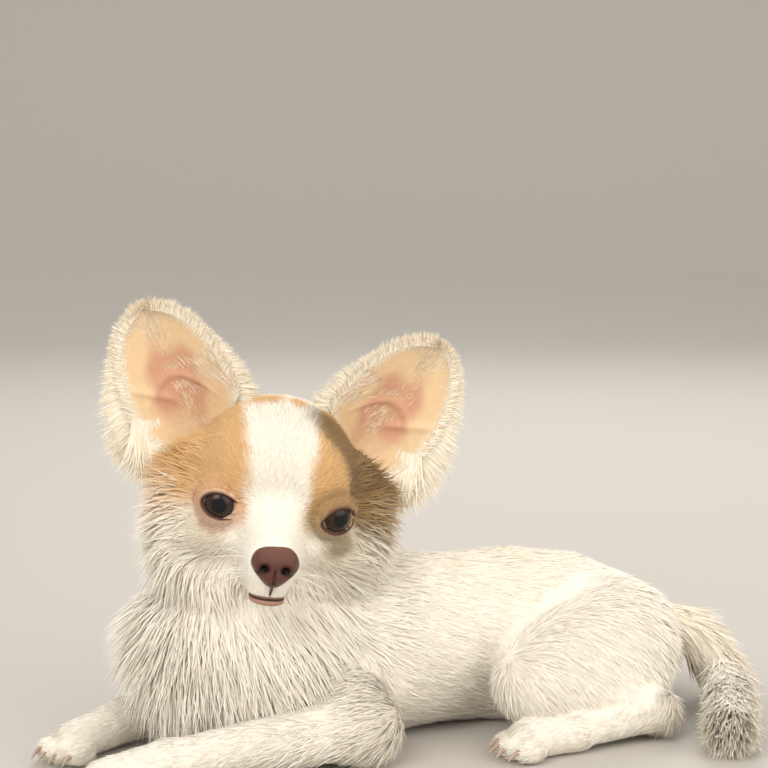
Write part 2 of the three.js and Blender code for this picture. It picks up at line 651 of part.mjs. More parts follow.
for (const [name, solid] of Object.entries(solids)) root.add(node(name, solid, coat(COAT_WHITE)));
headPlace.add(node("head", headSolid(), coat(COAT_TAN)));
headPlace.add(node("nose", noseSolid(), wet(NOSE_BROWN, 0.35)));
for (const [name, side] of Object.entries(SIDES)) {
  headPlace.add(node("eye_" + name, eyeBall(side), wet(EYE_DARK, 0.1)));
  headPlace.add(node("ear_" + name, cutBy(earSolid(side), headForm(GAP), ...cheekLocks(GAP)), coat(EAR_SKIN)));
}
root.add(headPlace);

// The origin is the middle of the ground under the whole.
root.updateMatrixWorld(true);
const bounds = new THREE.Box3().setFromObject(root, true);
const middle = bounds.getCenter(vec(0, 0, 0));
root.position.set(-middle.x, -middle.y, -bounds.min.z);
root.updateMatrixWorld(true);

export default root;
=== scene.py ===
# A long-haired chihuahua puppy lying on its belly, head turned to its left.
# Shapes are worked out in millimetres in the dog's own frame (body along -Y, its left +X, ground at 0),
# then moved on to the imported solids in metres.
import json
import math

import bpy
import numpy as np
from mathutils import Matrix, Vector

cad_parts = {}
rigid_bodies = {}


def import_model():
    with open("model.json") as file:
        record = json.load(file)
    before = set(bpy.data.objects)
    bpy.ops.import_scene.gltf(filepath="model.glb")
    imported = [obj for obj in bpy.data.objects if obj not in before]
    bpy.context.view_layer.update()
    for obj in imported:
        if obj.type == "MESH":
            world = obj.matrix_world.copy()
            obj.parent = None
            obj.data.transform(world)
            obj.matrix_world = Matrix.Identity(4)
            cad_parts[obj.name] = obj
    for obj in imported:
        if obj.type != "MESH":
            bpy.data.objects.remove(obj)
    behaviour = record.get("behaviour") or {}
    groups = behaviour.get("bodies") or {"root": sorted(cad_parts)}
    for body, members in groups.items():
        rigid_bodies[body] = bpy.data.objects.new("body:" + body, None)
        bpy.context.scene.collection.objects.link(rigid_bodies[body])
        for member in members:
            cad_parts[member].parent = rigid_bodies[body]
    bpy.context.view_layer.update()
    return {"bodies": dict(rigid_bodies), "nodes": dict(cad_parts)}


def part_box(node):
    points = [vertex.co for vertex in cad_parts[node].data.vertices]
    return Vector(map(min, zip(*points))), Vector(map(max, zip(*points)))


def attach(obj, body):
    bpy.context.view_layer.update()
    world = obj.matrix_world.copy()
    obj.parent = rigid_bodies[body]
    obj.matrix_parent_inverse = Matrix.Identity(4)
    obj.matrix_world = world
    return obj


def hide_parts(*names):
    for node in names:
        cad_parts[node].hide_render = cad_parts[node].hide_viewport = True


rng = np.random.default_rng(20261125)
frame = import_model()
rootBody = next(iter(frame["bodies"]))
cadNodes = list(frame["nodes"])


def arr(*values):
    return np.array(values, dtype=np.float64)


def unit(v):
    return v / np.maximum(np.linalg.norm(v, axis=-1, keepdims=True), 1e-9)


def mix(a, b, t):
    return a + (b - a) * t


# 0 below low, 1 above high, with smooth ends.
def smooth(low, high, x):
    t = np.clip((x - low) / (high - low), 0.0, 1.0)
    return t * t * (3.0 - 2.0 * t)


# Layers of paint: each colour covers what is under it by its share.
def painted(colour, *layers):
    for over, share in layers:
        colour = mix(colour, over, share[..., None])
    return colour


# Head: where it stands and how it is turned, the same as in the solids
headSet = {"turn": 76.0, "lift": 3.0, "tilt": 8.0, "eyesMiddle": arr(48.0, -98.0, 102.0), "depth": -30.0}
eyeSet = {"spacing": 42.0, "radius": 8.0, "depth": -23.5, "line": -8.0}
noseCentre = arr(0, -46, -25.5)
sideLabels = ((1, "left"), (-1, "right"))
perMetre = 1000.0


def rotation(axis, degrees):
    return np.array(Matrix.Rotation(math.radians(degrees), 3, axis))


headTurn = rotation("Z", headSet["turn"]) @ rotation("X", -headSet["lift"]) @ rotation("Y", headSet["tilt"])
headOrigin = headSet["eyesMiddle"] - headTurn @ arr(0.0, headSet["depth"], eyeSet["line"])


def headToDog(p):
    return np.asarray(p) @ headTurn.T + headOrigin


def dogToHead(p):
    return (np.asarray(p) - headOrigin) @ headTurn


def eyeCentre(side):
    return arr(side * eyeSet["spacing"] / 2, eyeSet["depth"], eyeSet["line"])


boxLow, boxHigh = (np.array(corner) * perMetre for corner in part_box("eye_left"))
shift = (boxLow + boxHigh) / 2 - headToDog(eyeCentre(1))
print("stage: frame loaded, shift", np.round(shift, 2))


def toRow(p):
    return (np.asarray(p) + shift) / perMetre


# Fields: how far outside each form a point is, in millimetres, negative inside.
# Ellipsoid: scaled radius k gives k (k - 1) / slope.
def ellipsoid(p, centre, half):
    q = p - centre
    near = np.linalg.norm(q / half, axis=-1)
    slope = np.linalg.norm(q / half**2, axis=-1)
    return near * (near - 1.0) / np.maximum(slope, 1e-6)


# Limb: distance to a segment less a radius that changes evenly along it.
def limb(p, start, end, startRadius, endRadius):
    along = end - start
    q = p - start
    share = np.clip(q @ along / (along @ along), 0.0, 1.0)
    return np.linalg.norm(q - share[..., None] * along, axis=-1) - mix(startRadius, endRadius, share)


# Smooth union: the lesser field, rounded where the two are closer than the softness.
def blended(softness, *fields):
    kept = fields[0]
    for nextField in fields[1:]:
        share = np.clip(0.5 + (nextField - kept) / (2 * softness), 0.0, 1.0)
        kept = mix(nextField, kept, share) - softness * share * (1.0 - share)
    return kept


bodySet = {"backHeight": 72.0, "chestHalfWidth": 36.0, "coatDepth": 3.0}


def torsoField(p):
    back = bodySet["backHeight"]
    return blended(
        16.0,
        ellipsoid(p, arr(0, -46, 36), arr(bodySet["chestHalfWidth"], 54, 40)),
        ellipsoid(p, arr(0, 10, back - 37), arr(30, 56, 38)),
        ellipsoid(p, arr(0, 46, 27), arr(33, 47, 35)),
    )


def ruffField(p):
    return blended(
        16.0,
        ellipsoid(p, arr(0, -94, 44), arr(47, 54, 46)),
        ellipsoid(p, arr(8, -90, 82), arr(41, 49, 32)),
    )


# Places of the legs' joints; the right hind leg mirrors the left one.
forelegPlaces = {
    1: ((30, -66, 28), (44, -62, 15), (49, -140, 10), (55, -166, 8)),
    -1: ((-28, -67, 28), (-36, -64, 15), (-12, -142, 10), (4, -167, 8)),
}
joints = ("shoulder", "elbow", "wrist", "toes")
foreleg = {side: dict(zip(joints, (arr(*place) for place in rows))) for side, rows in forelegPlaces.items()}
leftHindLeg = {
    "hip": (25, 52, 38),
    "knee": (48, 8, 26),
    "hock": (54, 58, 12),
    "ankle": (59, 20, 8.5),
    "toes": (61, 0, 8),
}
toeSet = {"spacing": 5.6, "ahead": 7.0, "arc": 2.4, "height": 5.4, "half": arr(3.7, 8.0, 5.8)}


def hindLeg(side):
    return {name: arr(side * x, y, z) for name, (x, y, z) in leftHindLeg.items()}


def forelegField(p, side):
    leg = foreleg[side]
    upper = limb(p, leg["shoulder"], leg["elbow"], 16.0, 14.0)
    return blended(8.0, upper, limb(p, leg["elbow"], leg["wrist"], 14.0, 9.5))


# The four toes stand side by side ahead of the pad.
def toePlaces(wrist, toes):
    forward = unit(arr(toes[0] - wrist[0], toes[1] - wrist[1], 0.0))
    across = arr(-forward[1], forward[0], 0.0)
    places = []
    for k in (-1.5, -0.5, 0.5, 1.5):
        place = toes + across * k * toeSet["spacing"] + forward * (toeSet["ahead"] - abs(k) * toeSet["arc"])
        place[2] = toeSet["height"]
        places.append(place)
    return places, forward, across


def pawField(p, wrist, toes, wristRadius=9.5):
    places, forward, across = toePlaces(wrist, toes)
    turn = np.stack([across, forward, arr(0, 0, 1)])
    fields = [limb(p, wrist, toes, wristRadius, 8.5)]
    for place in places:
        fields.append(ellipsoid((p - place) @ turn.T, arr(0, 0, 0), toeSet["half"]))
    return blended(1.6, *fields)


def forepawField(p, side):
    return pawField(p, foreleg[side]["wrist"], foreleg[side]["toes"])


def thighField(p, side):
    leg = hindLeg(side)
    return blended(
        12.0,
        limb(p, leg["hip"], leg["knee"], 25.0, 17.0),
        limb(p, leg["knee"], leg["hock"], 15.0, 10.0),
        ellipsoid(p, arr(side * 41, 36, 30), arr(17, 32, 24)),
    )


def footField(p, side):
    leg = hindLeg(side)
    shank = limb(p, leg["hock"], leg["ankle"], 9.5, 8.0)
    sole = limb(p, leg["ankle"], leg["toes"], 8.0, 8.0)
    return blended(4.0, shank, sole, pawField(p, leg["ankle"], leg["toes"], 8.0))


# Catmull-Rom curve through the points, sampled evenly in its parameter.
def curveThrough(points, count):
    points = np.array(points, dtype=float)
    padded = np.vstack([2 * points[0] - points[1], points, 2 * points[-1] - points[-2]])
    t = np.linspace(0, len(points) - 1 - 1e-9, count)
    i = t.astype(int)
    f = (t - i)[:, None]
    a, b, c, d = padded[i], padded[i + 1], padded[i + 2], padded[i + 3]
    return 0.5 * (2 * b + (c - a) * f + (2 * a - 5 * b + 4 * c - d) * f**2 + (3 * b - a - 3 * c + d) * f**3)


tailPoints = [(0, 72, 36), (4, 94, 33), (13, 106, 18), (32, 102, 13), (54, 92, 12), (72, 82, 11)]
tailPath = curveThrough(tailPoints, 15)
tailRadius = 6.0


def tailField(p):
    pieces = [limb(p, tailPath[i], tailPath[i + 1], tailRadius, tailRadius) for i in range(len(tailPath) - 1)]
    return np.minimum.reduce(pieces)


# The skull, brow, cheeks, muzzle and jaw in the head's own frame
def headField(q):
    return blended(
        8.0,
        ellipsoid(q, arr(0, 4, 1), arr(33, 36, 31)),
        ellipsoid(q, arr(19, -4, -18), arr(15, 23, 15)),
        ellipsoid(q, arr(-19, -4, -18), arr(15, 23, 15)),
        ellipsoid(q, arr(11, -19, 3), arr(15, 13, 15)),
        ellipsoid(q, arr(-11, -19, 3), arr(15, 13, 15)),
        limb(q, arr(0, -22, -21), arr(0, -38, -27), 14.5, 11.0),
        limb(q, arr(0, -26, -15), arr(0, -42, -21), 9.0, 7.0),
        limb(q, arr(0, -12, -31), arr(0, -36, -37), 12.5, 7.0),
    )


eyeShape = {"lidRadius": 9.2, "lidSunk": 0.4, "openWide": 6.7, "openTall": 4.4, "slant": 20.0, "turn": 13.0}
eyeOpening = {1: arr(1.4, 0.0, -1.7), -1: arr(2.6, 0.0, -1.5)}


# Directions of an eye's opening in the head's frame: across it, out of the head and up it.
def eyeAxes(side):
    tipped = rotation("Y", -side * eyeShape["turn"])
    outward = rotation("Z", side * eyeShape["slant"])
    return (outward @ tipped).T


# The almond hollow ahead of an eye, between its lids
def eyeHollow(q, side):
    local = (q - eyeCentre(side)) @ eyeAxes(side).T
    return ellipsoid(local, arr(side * 0.2, -10, 0), arr(8.2, 14, 6.4))


# The head's skin before lids and eyes, under the outline of its coat
def bareHead(q):
    return headField(q) + 1.2


# The head's skin: lid bulges over the eyes, and a hollow through each that stays outside the eyeball.
def faceField(q):
    kept = bareHead(q)
    fromEye = {side: np.linalg.norm(q - eyeCentre(side), axis=-1) for side in (1, -1)}
    for side in (1, -1):
        kept = blended(2.5, kept, fromEye[side] - eyeShape["lidRadius"] + eyeShape["lidSunk"])
    for side in (1, -1):
        kept = np.maximum(kept, -eyeHollow(q, side))
        kept = np.maximum(kept, eyeSet["radius"] - 0.6 - fromEye[side])
    return kept


# Regions of the body: the field, how deep the skin lies under it, the two corners of the box that it
# is worked out in, and the softness of its join with the rest, all in millimetres.
coatDepth = bodySet["coatDepth"]
regions = {
    "torso": (torsoField, coatDepth, (-60, -120, -12), (60, 120, 95), 10.0),
    "ruff": (ruffField, 13.0, (-60, -155, -12), (62, -22, 125), 14.0),
    "forelegL": (lambda p: forelegField(p, 1), 2.0, (5, -165, -12), (75, -30, 65), 7.0),
    "forelegR": (lambda p: forelegField(p, -1), 2.0, (-70, -165, -12), (10, -30, 65), 7.0),
    "forepawL": (lambda p: forepawField(p, 1), 1.0, (25, -192, -12), (82, -120, 30), 2.5),
    "forepawR": (lambda p: forepawField(p, -1), 1.0, (-35, -192, -12), (32, -120, 30), 2.5),
    "thighL": (lambda p: thighField(p, 1), coatDepth, (0, -25, -12), (80, 100, 80), 9.0),
    "thighR": (lambda p: thighField(p, -1), coatDepth, (-80, -25, -12), (0, 100, 80), 9.0),
    "footL": (lambda p: footField(p, 1), 1.2, (35, -28, -12), (82, 80, 35), 3.0),
    "footR": (lambda p: footField(p, -1), 1.2, (-82, -28, -12), (-35, 80, 35), 3.0),
    "tail": (tailField, 0.0, (-22, 60, -12), (92, 126, 60), 6.0),
    "head": (lambda p: faceField(dogToHead(p)), 0.0, (-32, -145, 45), (85, -30, 155), 6.0),
}
regionNames = list(regions)


# The four cells beside each crossed edge, by their steps back across it, and which are in the grid
def cellsBeside(places, axis, size):
    first, second = (k for k in range(3) if k != axis)
    beside = {}
    for u, v in ((0, 0), (0, 1), (1, 0), (1, 1)):
        cell = places.copy()
        cell[:, first] -= u
        cell[:, second] -= v
        beside[u, v] = (cell, np.all((cell >= 0) & (cell < size), axis=1))
    return beside


# Surface nets: one vertex per cell the surface crosses, at the mean of its edge crossings,
# and one quad round every grid edge that changes sign.
def surfaceNets(values, low, step):
    size = np.array(values.shape) - 1
    total = np.zeros((*size, 3), dtype=np.float32)
    count = np.zeros(size, dtype=np.float32)
    crossings = []
    for axis in range(3):
        first = np.take(values, range(values.shape[axis] - 1), axis)
        second = np.take(values, range(1, values.shape[axis]), axis)
        crossed = (first < 0) != (second < 0)
        places = np.argwhere(crossed)
        a = first[crossed]
        b = second[crossed]
        point = places.astype(np.float32)
        point[:, axis] += a / (a - b)
        beside = cellsBeside(places, axis, size)
        crossings.append((axis, beside, a < 0))
        for cell, fits in beside.values():
            flat = np.ravel_multi_index(cell[fits].T, size)
            np.add.at(total.reshape(-1, 3), flat, point[fits])
            np.add.at(count.reshape(-1), flat, 1)
    active = count > 0
    index = np.full(size, -1, dtype=np.int64)
    index[active] = np.arange(active.sum())
    verts = total[active] / count[active][:, None] * step + low
    quads = []
    for axis, beside, startsInside in crossings:
        cells = [beside[turn] for turn in ((0, 0), (1, 0), (1, 1), (0, 1))]
        whole = np.all([fits for _, fits in cells], axis=0)
        ids = np.stack([index[tuple(cell[whole].T)] for cell, _ in cells], 1)
        kept = startsInside[whole] == (axis == 1)
        ids[~kept] = ids[~kept][:, ::-1]
        quads.append(ids)
    return verts, np.vstack(quads)


# The skin: the smooth union of all regions on a grid, cut off just above the ground.
def buildSkin(step):
    low = arr(-84, -194, -3)
    high = arr(94, 128, 152)
    farOutside = 50.0
    ground = 0.6
    counts = np.ceil((high - low) / step).astype(int) + 1
    axes = [low[k] + step * np.arange(counts[k]) for k in range(3)]
    values = np.full(counts, farOutside, dtype=np.float32)
    for field, depth, boxStart, boxEnd, softness in regions.values():
        cut = tuple(slice(*np.searchsorted(axes[k], (boxStart[k], boxEnd[k]))) for k in range(3))
        grid = np.stack(np.meshgrid(*[axes[k][cut[k]] for k in range(3)], indexing="ij"), -1)
        part = (field(grid) + depth).astype(np.float32)
        values[cut] = blended(softness, values[cut], part)
    # The head is the last region; its eye hollows are kept open after the union.
    for side in (1, -1):
        values[cut] = np.maximum(values[cut], -eyeHollow(dogToHead(grid), side))
    values = np.maximum(values, (ground - axes[2])[None, None, :].astype(np.float32))
    return surfaceNets(values, low, step)


# Each vertex moves towards the mean of its neighbours, then back out, so that the form keeps its size.
def relaxed(verts, quads, rounds):
    edges = np.vstack([quads[:, [0, 1]], quads[:, [1, 2]], quads[:, [2, 3]], quads[:, [3, 0]]])
    count = np.bincount(edges.ravel(), minlength=len(verts)).astype(float)
    for amount in [0.5, -0.52] * rounds:
        total = np.zeros_like(verts, dtype=float)
        for k in range(3):
            total[:, k] = np.bincount(edges[:, 0], verts[edges[:, 1], k], len(verts))
            total[:, k] += np.bincount(edges[:, 1], verts[edges[:, 0], k], len(verts))
        verts = verts + amount * (total / count[:, None] - verts)
    return verts


def vertexNormals(verts, quads):
    across = verts[quads[:, 2]] - verts[quads[:, 0]]
    down = verts[quads[:, 3]] - verts[quads[:, 1]]
    face = np.cross(across, down)
    normals = np.zeros_like(verts, dtype=float)
    for k in range(3):
        for corner in range(4):
            normals[:, k] += np.bincount(quads[:, corner], face[:, k], len(verts))
    return unit(normals)


# Colours in linear light
coatColour = {
    "white": arr(0.95, 0.885, 0.77),
    "cream": arr(0.88, 0.76, 0.56),
    "tan": arr(0.74, 0.46, 0.21),
    "sable": arr(0.24, 0.145, 0.05),
    "pink": arr(0.60, 0.34, 0.23),
    "earPink": arr(0.60, 0.30, 0.19),
}


# Spots of the markings: centre, half size, softness of the edge and strength, in millimetres.
spots = {
    "crown": (arr(4.5, -7, 29), arr(3.4, 5, 4.5), 0.5, 1.0),
    "crownRight": (arr(-8, -5, 30), arr(8, 7, 4.8), 0.5, 1.0),
    "underRightEye": (arr(-25, -22, -18), arr(8, 12, 8), 0.5, 0.55),
    "underLeftEye": (arr(25, -22, -19), arr(8, 12, 8), 0.5, 0.6),
    "leftEye": (eyeCentre(1) + arr(1, -4, -1), arr(12.5, 14, 10.5), 0.25, 0.62),
    "leftCheek": (arr(25, -24, -19), arr(7.0, 12, 5), 0.5, 0.7),
    "rightEye": (eyeCentre(-1) + arr(0, -4, -2.5), arr(10.5, 14, 9.5), 0.2, 0.55),
    "tailRoot": (arr(0, 96, 34), arr(26, 26, 26), 0.5, 0.3),
}


def spot(q, name):
    centre, half, soft, strength = spots[name]
    d = np.linalg.norm((q - centre) / half, axis=-1)
    return (1.0 - smooth(1.0 - soft, 1.0 + soft, d)) * strength


# The coat's markings: tan on both sides of the head with a white blaze between, which widens upward;
# a sable streak from the crown to the left eye, and cream on the back and the root of the tail.
def markings(p, wobble):
    q = dogToHead(p)
    height = q[:, 2] - eyeSet["line"]
    blazeHalf = 10.3 + 0.16 * np.clip(height - 8, 0, 60)
    outside = smooth(-2.2, 2.6, np.abs(q[:, 0] + 0.6) - blazeHalf + 1.6 * wobble)
    above = smooth(-9.0, 3.0, height + 1.5 + 2.0 * wobble)
    near = smooth(30.0, 20.0, q[:, 1]) * smooth(-36.0, -24.0, q[:, 2]) * smooth(20.0, 6.0, headField(q))
    near = near * (1 - smooth(28.0, 35.0, np.abs(q[:, 0]) + 1.5 * wobble) * smooth(13.0, 0.0, height))
    tan = outside * above * near
    for name in ("crown", "crownRight"):
        tan = np.maximum(tan, spot(q, name) * near)
    underEyes = np.maximum(spot(q, "underRightEye"), spot(q, "underLeftEye"))
    fromStreak = limb(q, arr(19, -14, 30), arr(33, -8, -4), 0.0, 2.5)
    streak = 1.0 - smooth(4.5, 12.5, fromStreak * 0.8 + 1.2 * wobble)
    dark = np.maximum(np.maximum(streak * 0.95, spot(q, "leftEye")), spot(q, "leftCheek"))
    saddle = smooth(55, 75, p[:, 2]) * smooth(-60, 0, p[:, 1]) * 0.3
    saddle = np.maximum(saddle, spot(p, "tailRoot"))
    return painted(
        coatColour["white"],
        (coatColour["tan"], tan),
        (coatColour["cream"], underEyes),
        (coatColour["sable"], np.clip(dark, 0, 1) * near),
        (coatColour["pink"], spot(q, "rightEye")),
        (coatColour["cream"], saddle * (1 - tan)),
    )


# Smooth noise: a few sine waves crossed in random directions.
def wobbleAt(p, scale, seed):
    draw = np.random.default_rng(seed)
    total = np.zeros(len(p))
    for _ in range(6):
        direction = unit(draw.normal(size=3)) / scale * draw.uniform(0.7, 1.6)
        total += np.sin(p @ direction * 2 * math.pi + draw.uniform(0, 2 * math.pi))
    return total / 6


def addObject(name, data):
    obj = bpy.data.objects.new(name, data)
    bpy.context.scene.collection.objects.link(obj)
    return obj


# Mesh objects from arrays, in dog millimetres, with one colour to a vertex
def makeMesh(name, verts, faces, colours, finish):
    mesh = bpy.data.meshes.new(name)
    mesh.vertices.add(len(verts))
    mesh.vertices.foreach_set("co", toRow(verts).astype(np.float32).ravel())
    mesh.loops.add(faces.size)
    mesh.loops.foreach_set("vertex_index", faces.astype(np.int32).ravel())
    mesh.polygons.add(len(faces))
    mesh.polygons.foreach_set("loop_start", np.arange(0, faces.size, faces.shape[1], dtype=np.int32))
    mesh.update(calc_edges=True)
    mesh.polygons.foreach_set("use_smooth", np.full(len(faces), True))
    attribute = mesh.color_attributes.new("coat", "FLOAT_COLOR", "POINT")
    rgba = np.ones((len(verts), 4), dtype=np.float32)
    rgba[:, :3] = colours
    attribute.data.foreach_set("color", rgba.ravel())
    mesh.materials.append(materials[finish])
    return addObject(name, mesh)


def setMap(obj, uv):
    layer = obj.data.uv_layers.new(name="OFBake")
    layer.data.foreach_set("uv", uv.astype(np.float32).ravel())


def finishPiece(obj, nodes=()):
    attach(obj, rootBody)
    if nodes:
        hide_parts(*nodes)
    return obj


# Materials
def newMaterial(name, roughness):
    material = bpy.data.materials.new(name)
    material.use_nodes = True
    tree = material.node_tree
    shader = tree.nodes["Principled BSDF"]
    shader.inputs["Roughness"].default_value = roughness
    return material, tree, shader


# Sets a node's inputs: a socket is linked, anything else is a value.
def setInputs(tree, node, **inputs):
    for name, value in inputs.items():
        socket = node.inputs[name.replace("_", " ")]
        if isinstance(value, bpy.types.NodeSocket):
            tree.links.new(value, socket)
        else:
            socket.default_value = value


def addNode(tree, kind, **inputs):
    node = tree.nodes.new("ShaderNode" + kind)
    setInputs(tree, node, **inputs)
    return node


def coatColourNode(tree):
    colour = addNode(tree, "VertexColor")
    colour.layer_name = "coat"
    return colour.outputs["Color"]


def noiseInto(tree, shader, grain, bump, bumpDepth):
    place = addNode(tree, "TexCoord").outputs["Object"]
    noise = addNode(tree, "TexNoise", Vector=place, Scale=grain, Detail=4.0).outputs["Fac"]
    bumps = addNode(tree, "Bump", Strength=bump, Distance=bumpDepth, Height=noise)
    setInputs(tree, shader, Normal=bumps.outputs["Normal"])
    return noise


# The vertices' colour, made a little darker and lighter by noise.
def colouredBy(name, roughness, grain, vary, bump, bumpDepth, sheen):
    material, tree, shader = newMaterial(name, roughness)
    noise = noiseInto(tree, shader, grain, bump, bumpDepth)
    ramp = addNode(tree, "MapRange", Value=noise, To_Min=1.0 - vary, To_Max=1.0 + vary)
    product = addNode(tree, "VectorMath")
    product.operation = "SCALE"
    setInputs(tree, product, Vector=coatColourNode(tree), Scale=ramp.outputs["Result"])
    setInputs(tree, shader, Base_Color=product.outputs["Vector"], Specular_IOR_Level=0.25, Sheen_Weight=sheen)
    return material


# Each finish: roughness, grain of the noise, how much it varies the colour, bump, its depth, sheen.
finishes = {
    "hair": (0.7, 900.0, 0.06, 0.0, 0.0001, 0.3),
    "skin_under_coat": (0.85, 700.0, 0.12, 0.5, 0.0006, 0.0),
    "ear_skin": (0.6, 500.0, 0.10, 0.35, 0.0004, 0.1),
    "lid_skin": (0.42, 800.0, 0.10, 0.3, 0.0002, 0.0),
    "wet_nose": (0.2, 2300.0, 0.2, 0.7, 0.0004, 0.0),
    "lip_skin": (0.45, 900.0, 0.12, 0.3, 0.0002, 0.0),
    "claw_horn": (0.3, 900.0, 0.12, 0.3, 0.0002, 0.0),
}
materials = {name: colouredBy(name, *finish) for name, finish in finishes.items()}

# Skin
skinSet = {"step": 1.3, "rounds": 2, "shade": 0.97}
skinVerts, skinQuads = buildSkin(skinSet["step"])
skinVerts = relaxed(skinVerts.astype(float), skinQuads, skinSet["rounds"])
skinVerts[:, 2] = np.maximum(skinVerts[:, 2], 0.5)
skinNormals = vertexNormals(skinVerts, skinQuads)
if (skinNormals * (skinVerts - skinVerts.mean(0))).sum() < 0:
    skinQuads = skinQuads[:, ::-1]
    skinNormals = -skinNormals
skinColour = markings(skinVerts, wobbleAt(skinVerts, 11.0, 3)) * skinSet["shade"]
print("stage: skin", len(skinVerts), "vertices")
skin = makeMesh("skin", skinVerts, skinQuads, skinColour, "skin_under_coat")


# Unwrap by the way each face points: six flat charts side by side, each in its own part of the square.
def chartPlaces(points, normals):
    axis = np.abs(normals).argmax(1)
    chart = axis * 2 + (normals[np.arange(len(axis)), axis] > 0)
    others = np.array([[1, 2], [0, 2], [0, 1]])[axis]
    rows = np.arange(len(points))
    start, extent = -200.0, 330.0
    u = (points[rows, others[:, 0]] - start) / extent
    v = (points[rows, others[:, 1]] - start) / extent
    return np.stack([(chart % 3 + np.clip(u, 0, 1)) / 3, (chart // 3 + np.clip(v, 0, 1)) / 2], 1)


cornerNormals = np.repeat(unit(skinNormals[skinQuads].mean(1)), 4, axis=0)
setMap(skin, chartPlaces(skinVerts[skinQuads].reshape(-1, 3), cornerNormals))
finishPiece(skin, [n for n in cadNodes if not n.startswith(("eye", "nose", "ear"))])

# Triangles of a tube of rings, with a fan to a middle point at each end.
def tubeFaces(rings, sides):
    i = np.arange(rings - 1)[:, None]
    j = np.arange(sides)
    k = (j + 1) % sides
    a = i * sides + j
    b = i * sides + k
    quads = np.stack([a, b, b + sides, a + sides], -1).reshape(-1, 4)
    first, last = rings * sides, rings * sides + 1
    base = (rings - 1) * sides
    start = np.stack([np.full(sides, first), k, j], 1)
    end = np.stack([np.full(sides, last), base + j, base + k], 1)
    return np.vstack([quads[:, [0, 1, 2]], quads[:, [0, 2, 3]], start, end])


# A closed piece from rings (count, sides, 3); it is turned the right way out by its volume.
def tubePiece(name, rings, colours, finish, nodes=()):
    count, sides, _ = rings.shape
    verts = np.vstack([rings.reshape(-1, 3), rings[0].mean(0), rings[-1].mean(0)])
    faces = tubeFaces(count, sides)
    a, b, c = (verts[faces[:, k]] for k in range(3))
    if (a * np.cross(b, c)).sum() < 0:
        faces = faces[:, ::-1]
    colours = np.vstack([colours.reshape(-1, 3), colours[0].mean(0), colours[-1].mean(0)])
    obj = makeMesh(name, verts, faces, colours, finish)
    u = np.append(np.repeat(np.linspace(0.02, 0.98, count), sides), [0.005, 0.995])
    v = np.append(np.tile(np.linspace(0.02, 0.98, sides), count), [0.5, 0.5])
    setMap(obj, np.stack([u, v], 1)[faces.ravel()])
    finishPiece(obj, nodes)


# Directions by their angle from straight ahead and by their turn round it
def aroundFront(angle, turn):
    across = np.sin(angle) * np.cos(turn)
    return np.stack([across, -np.cos(angle) * np.ones_like(turn), np.sin(angle) * np.sin(turn)], -1)


# Rings round a path; size gives the half width and half thickness at each point.
def sweep(path, up, size, sides=12):
    along = unit(np.gradient(path, axis=0))
    across = unit(np.cross(along, up))
    over = np.cross(across, along)
    angle = np.linspace(0, 2 * math.pi, sides, endpoint=False)
    wide, thick = (np.asarray(k, dtype=float).reshape(-1, 1, 1) for k in size)
    ring = across[:, None] * np.cos(angle)[None, :, None] * wide
    return path[:, None] + ring + over[:, None] * np.sin(angle)[None, :, None] * thick


# Where rays from inside leave a field, by halving.
def leaves(field, start, direction):
    low = np.zeros(len(direction))
    high = np.full(len(direction), 60.0)
    for _ in range(22):
        middle = (low + high) / 2
        outside = field(start + direction * middle[:, None]) > 0
        high = np.where(outside, middle, high)
        low = np.where(outside, low, middle)
    return start + direction * low[:, None]


# Ears: a cupped leaf with a round tip; s runs up it and v across it, as in the solids.
earSet = {"height": 47.0, "halfWidth": 21.0, "cup": 12.0, "curl": 2.2, "thickness": 2.0, "sunk": 0.28}
earRoot = arr(35, 8, 17)
earAlong = unit(arr(0.5, 0.02, 0.86))
earAcross = unit(arr(0.84, 0.2, -0.5))
earBack = unit(np.cross(earAlong, earAcross))


def earPoint(side, s, v):
    up = np.maximum(0, s)
    width = earSet["halfWidth"] * (1 - np.minimum(up, 0.9995) ** 3.2) ** 0.62 * smooth(-0.55, 0.14, s)
    depth = earSet["cup"] * (1 - 0.75 * up) * (1 - v * v)
    curl = earSet["curl"] * np.abs(v) ** 6 * (1 - up)
    p = earRoot + (s * earSet["height"])[..., None] * earAlong + (width * v)[..., None] * earAcross
    p = p + (depth + curl)[..., None] * earBack
    p[..., 0] = p[..., 0] * side
    return p


def earNormal(side, s, v):
    step = 0.01
    ds = earPoint(side, np.minimum(s + step, 0.99), v) - earPoint(side, s - step, v)
    dv = earPoint(side, s, v + step) - earPoint(side, s, v - step)
    return unit(np.cross(ds, dv)) * -side


# Folds inside the cup: a curved ridge across the middle and one low on the outer edge.
def earFolds(s, v):
    arc = np.exp(-(((s - 0.42 + 0.55 * (v - 0.1) ** 2) / 0.035) ** 2)) * smooth(0.75, 0.4, np.abs(v))
    low = np.exp(-(((s - 0.16 - 0.3 * v) / 0.04) ** 2)) * smooth(0.1, 0.3, v) * smooth(0.95, 0.8, v)
    return 0.9 * arc + 1.1 * low


def earColour(s, v, front):
    wobble = 0.12 * np.sin(9 * v + 4 * s) + 0.08 * np.sin(21 * s)
    pinkness = smooth(1.05, 0.45, np.hypot((v - 0.02) / 0.72, (s - 0.36) / 0.46) + wobble) * front
    pale = mix(coatColour["tan"], coatColour["cream"], 0.35)
    rim = smooth(0.8, 1.0, np.maximum(np.abs(v), smooth(0.7, 1.0, s)))
    return painted(pale, (coatColour["earPink"], pinkness * 0.85), (coatColour["cream"], rim * 0.6))


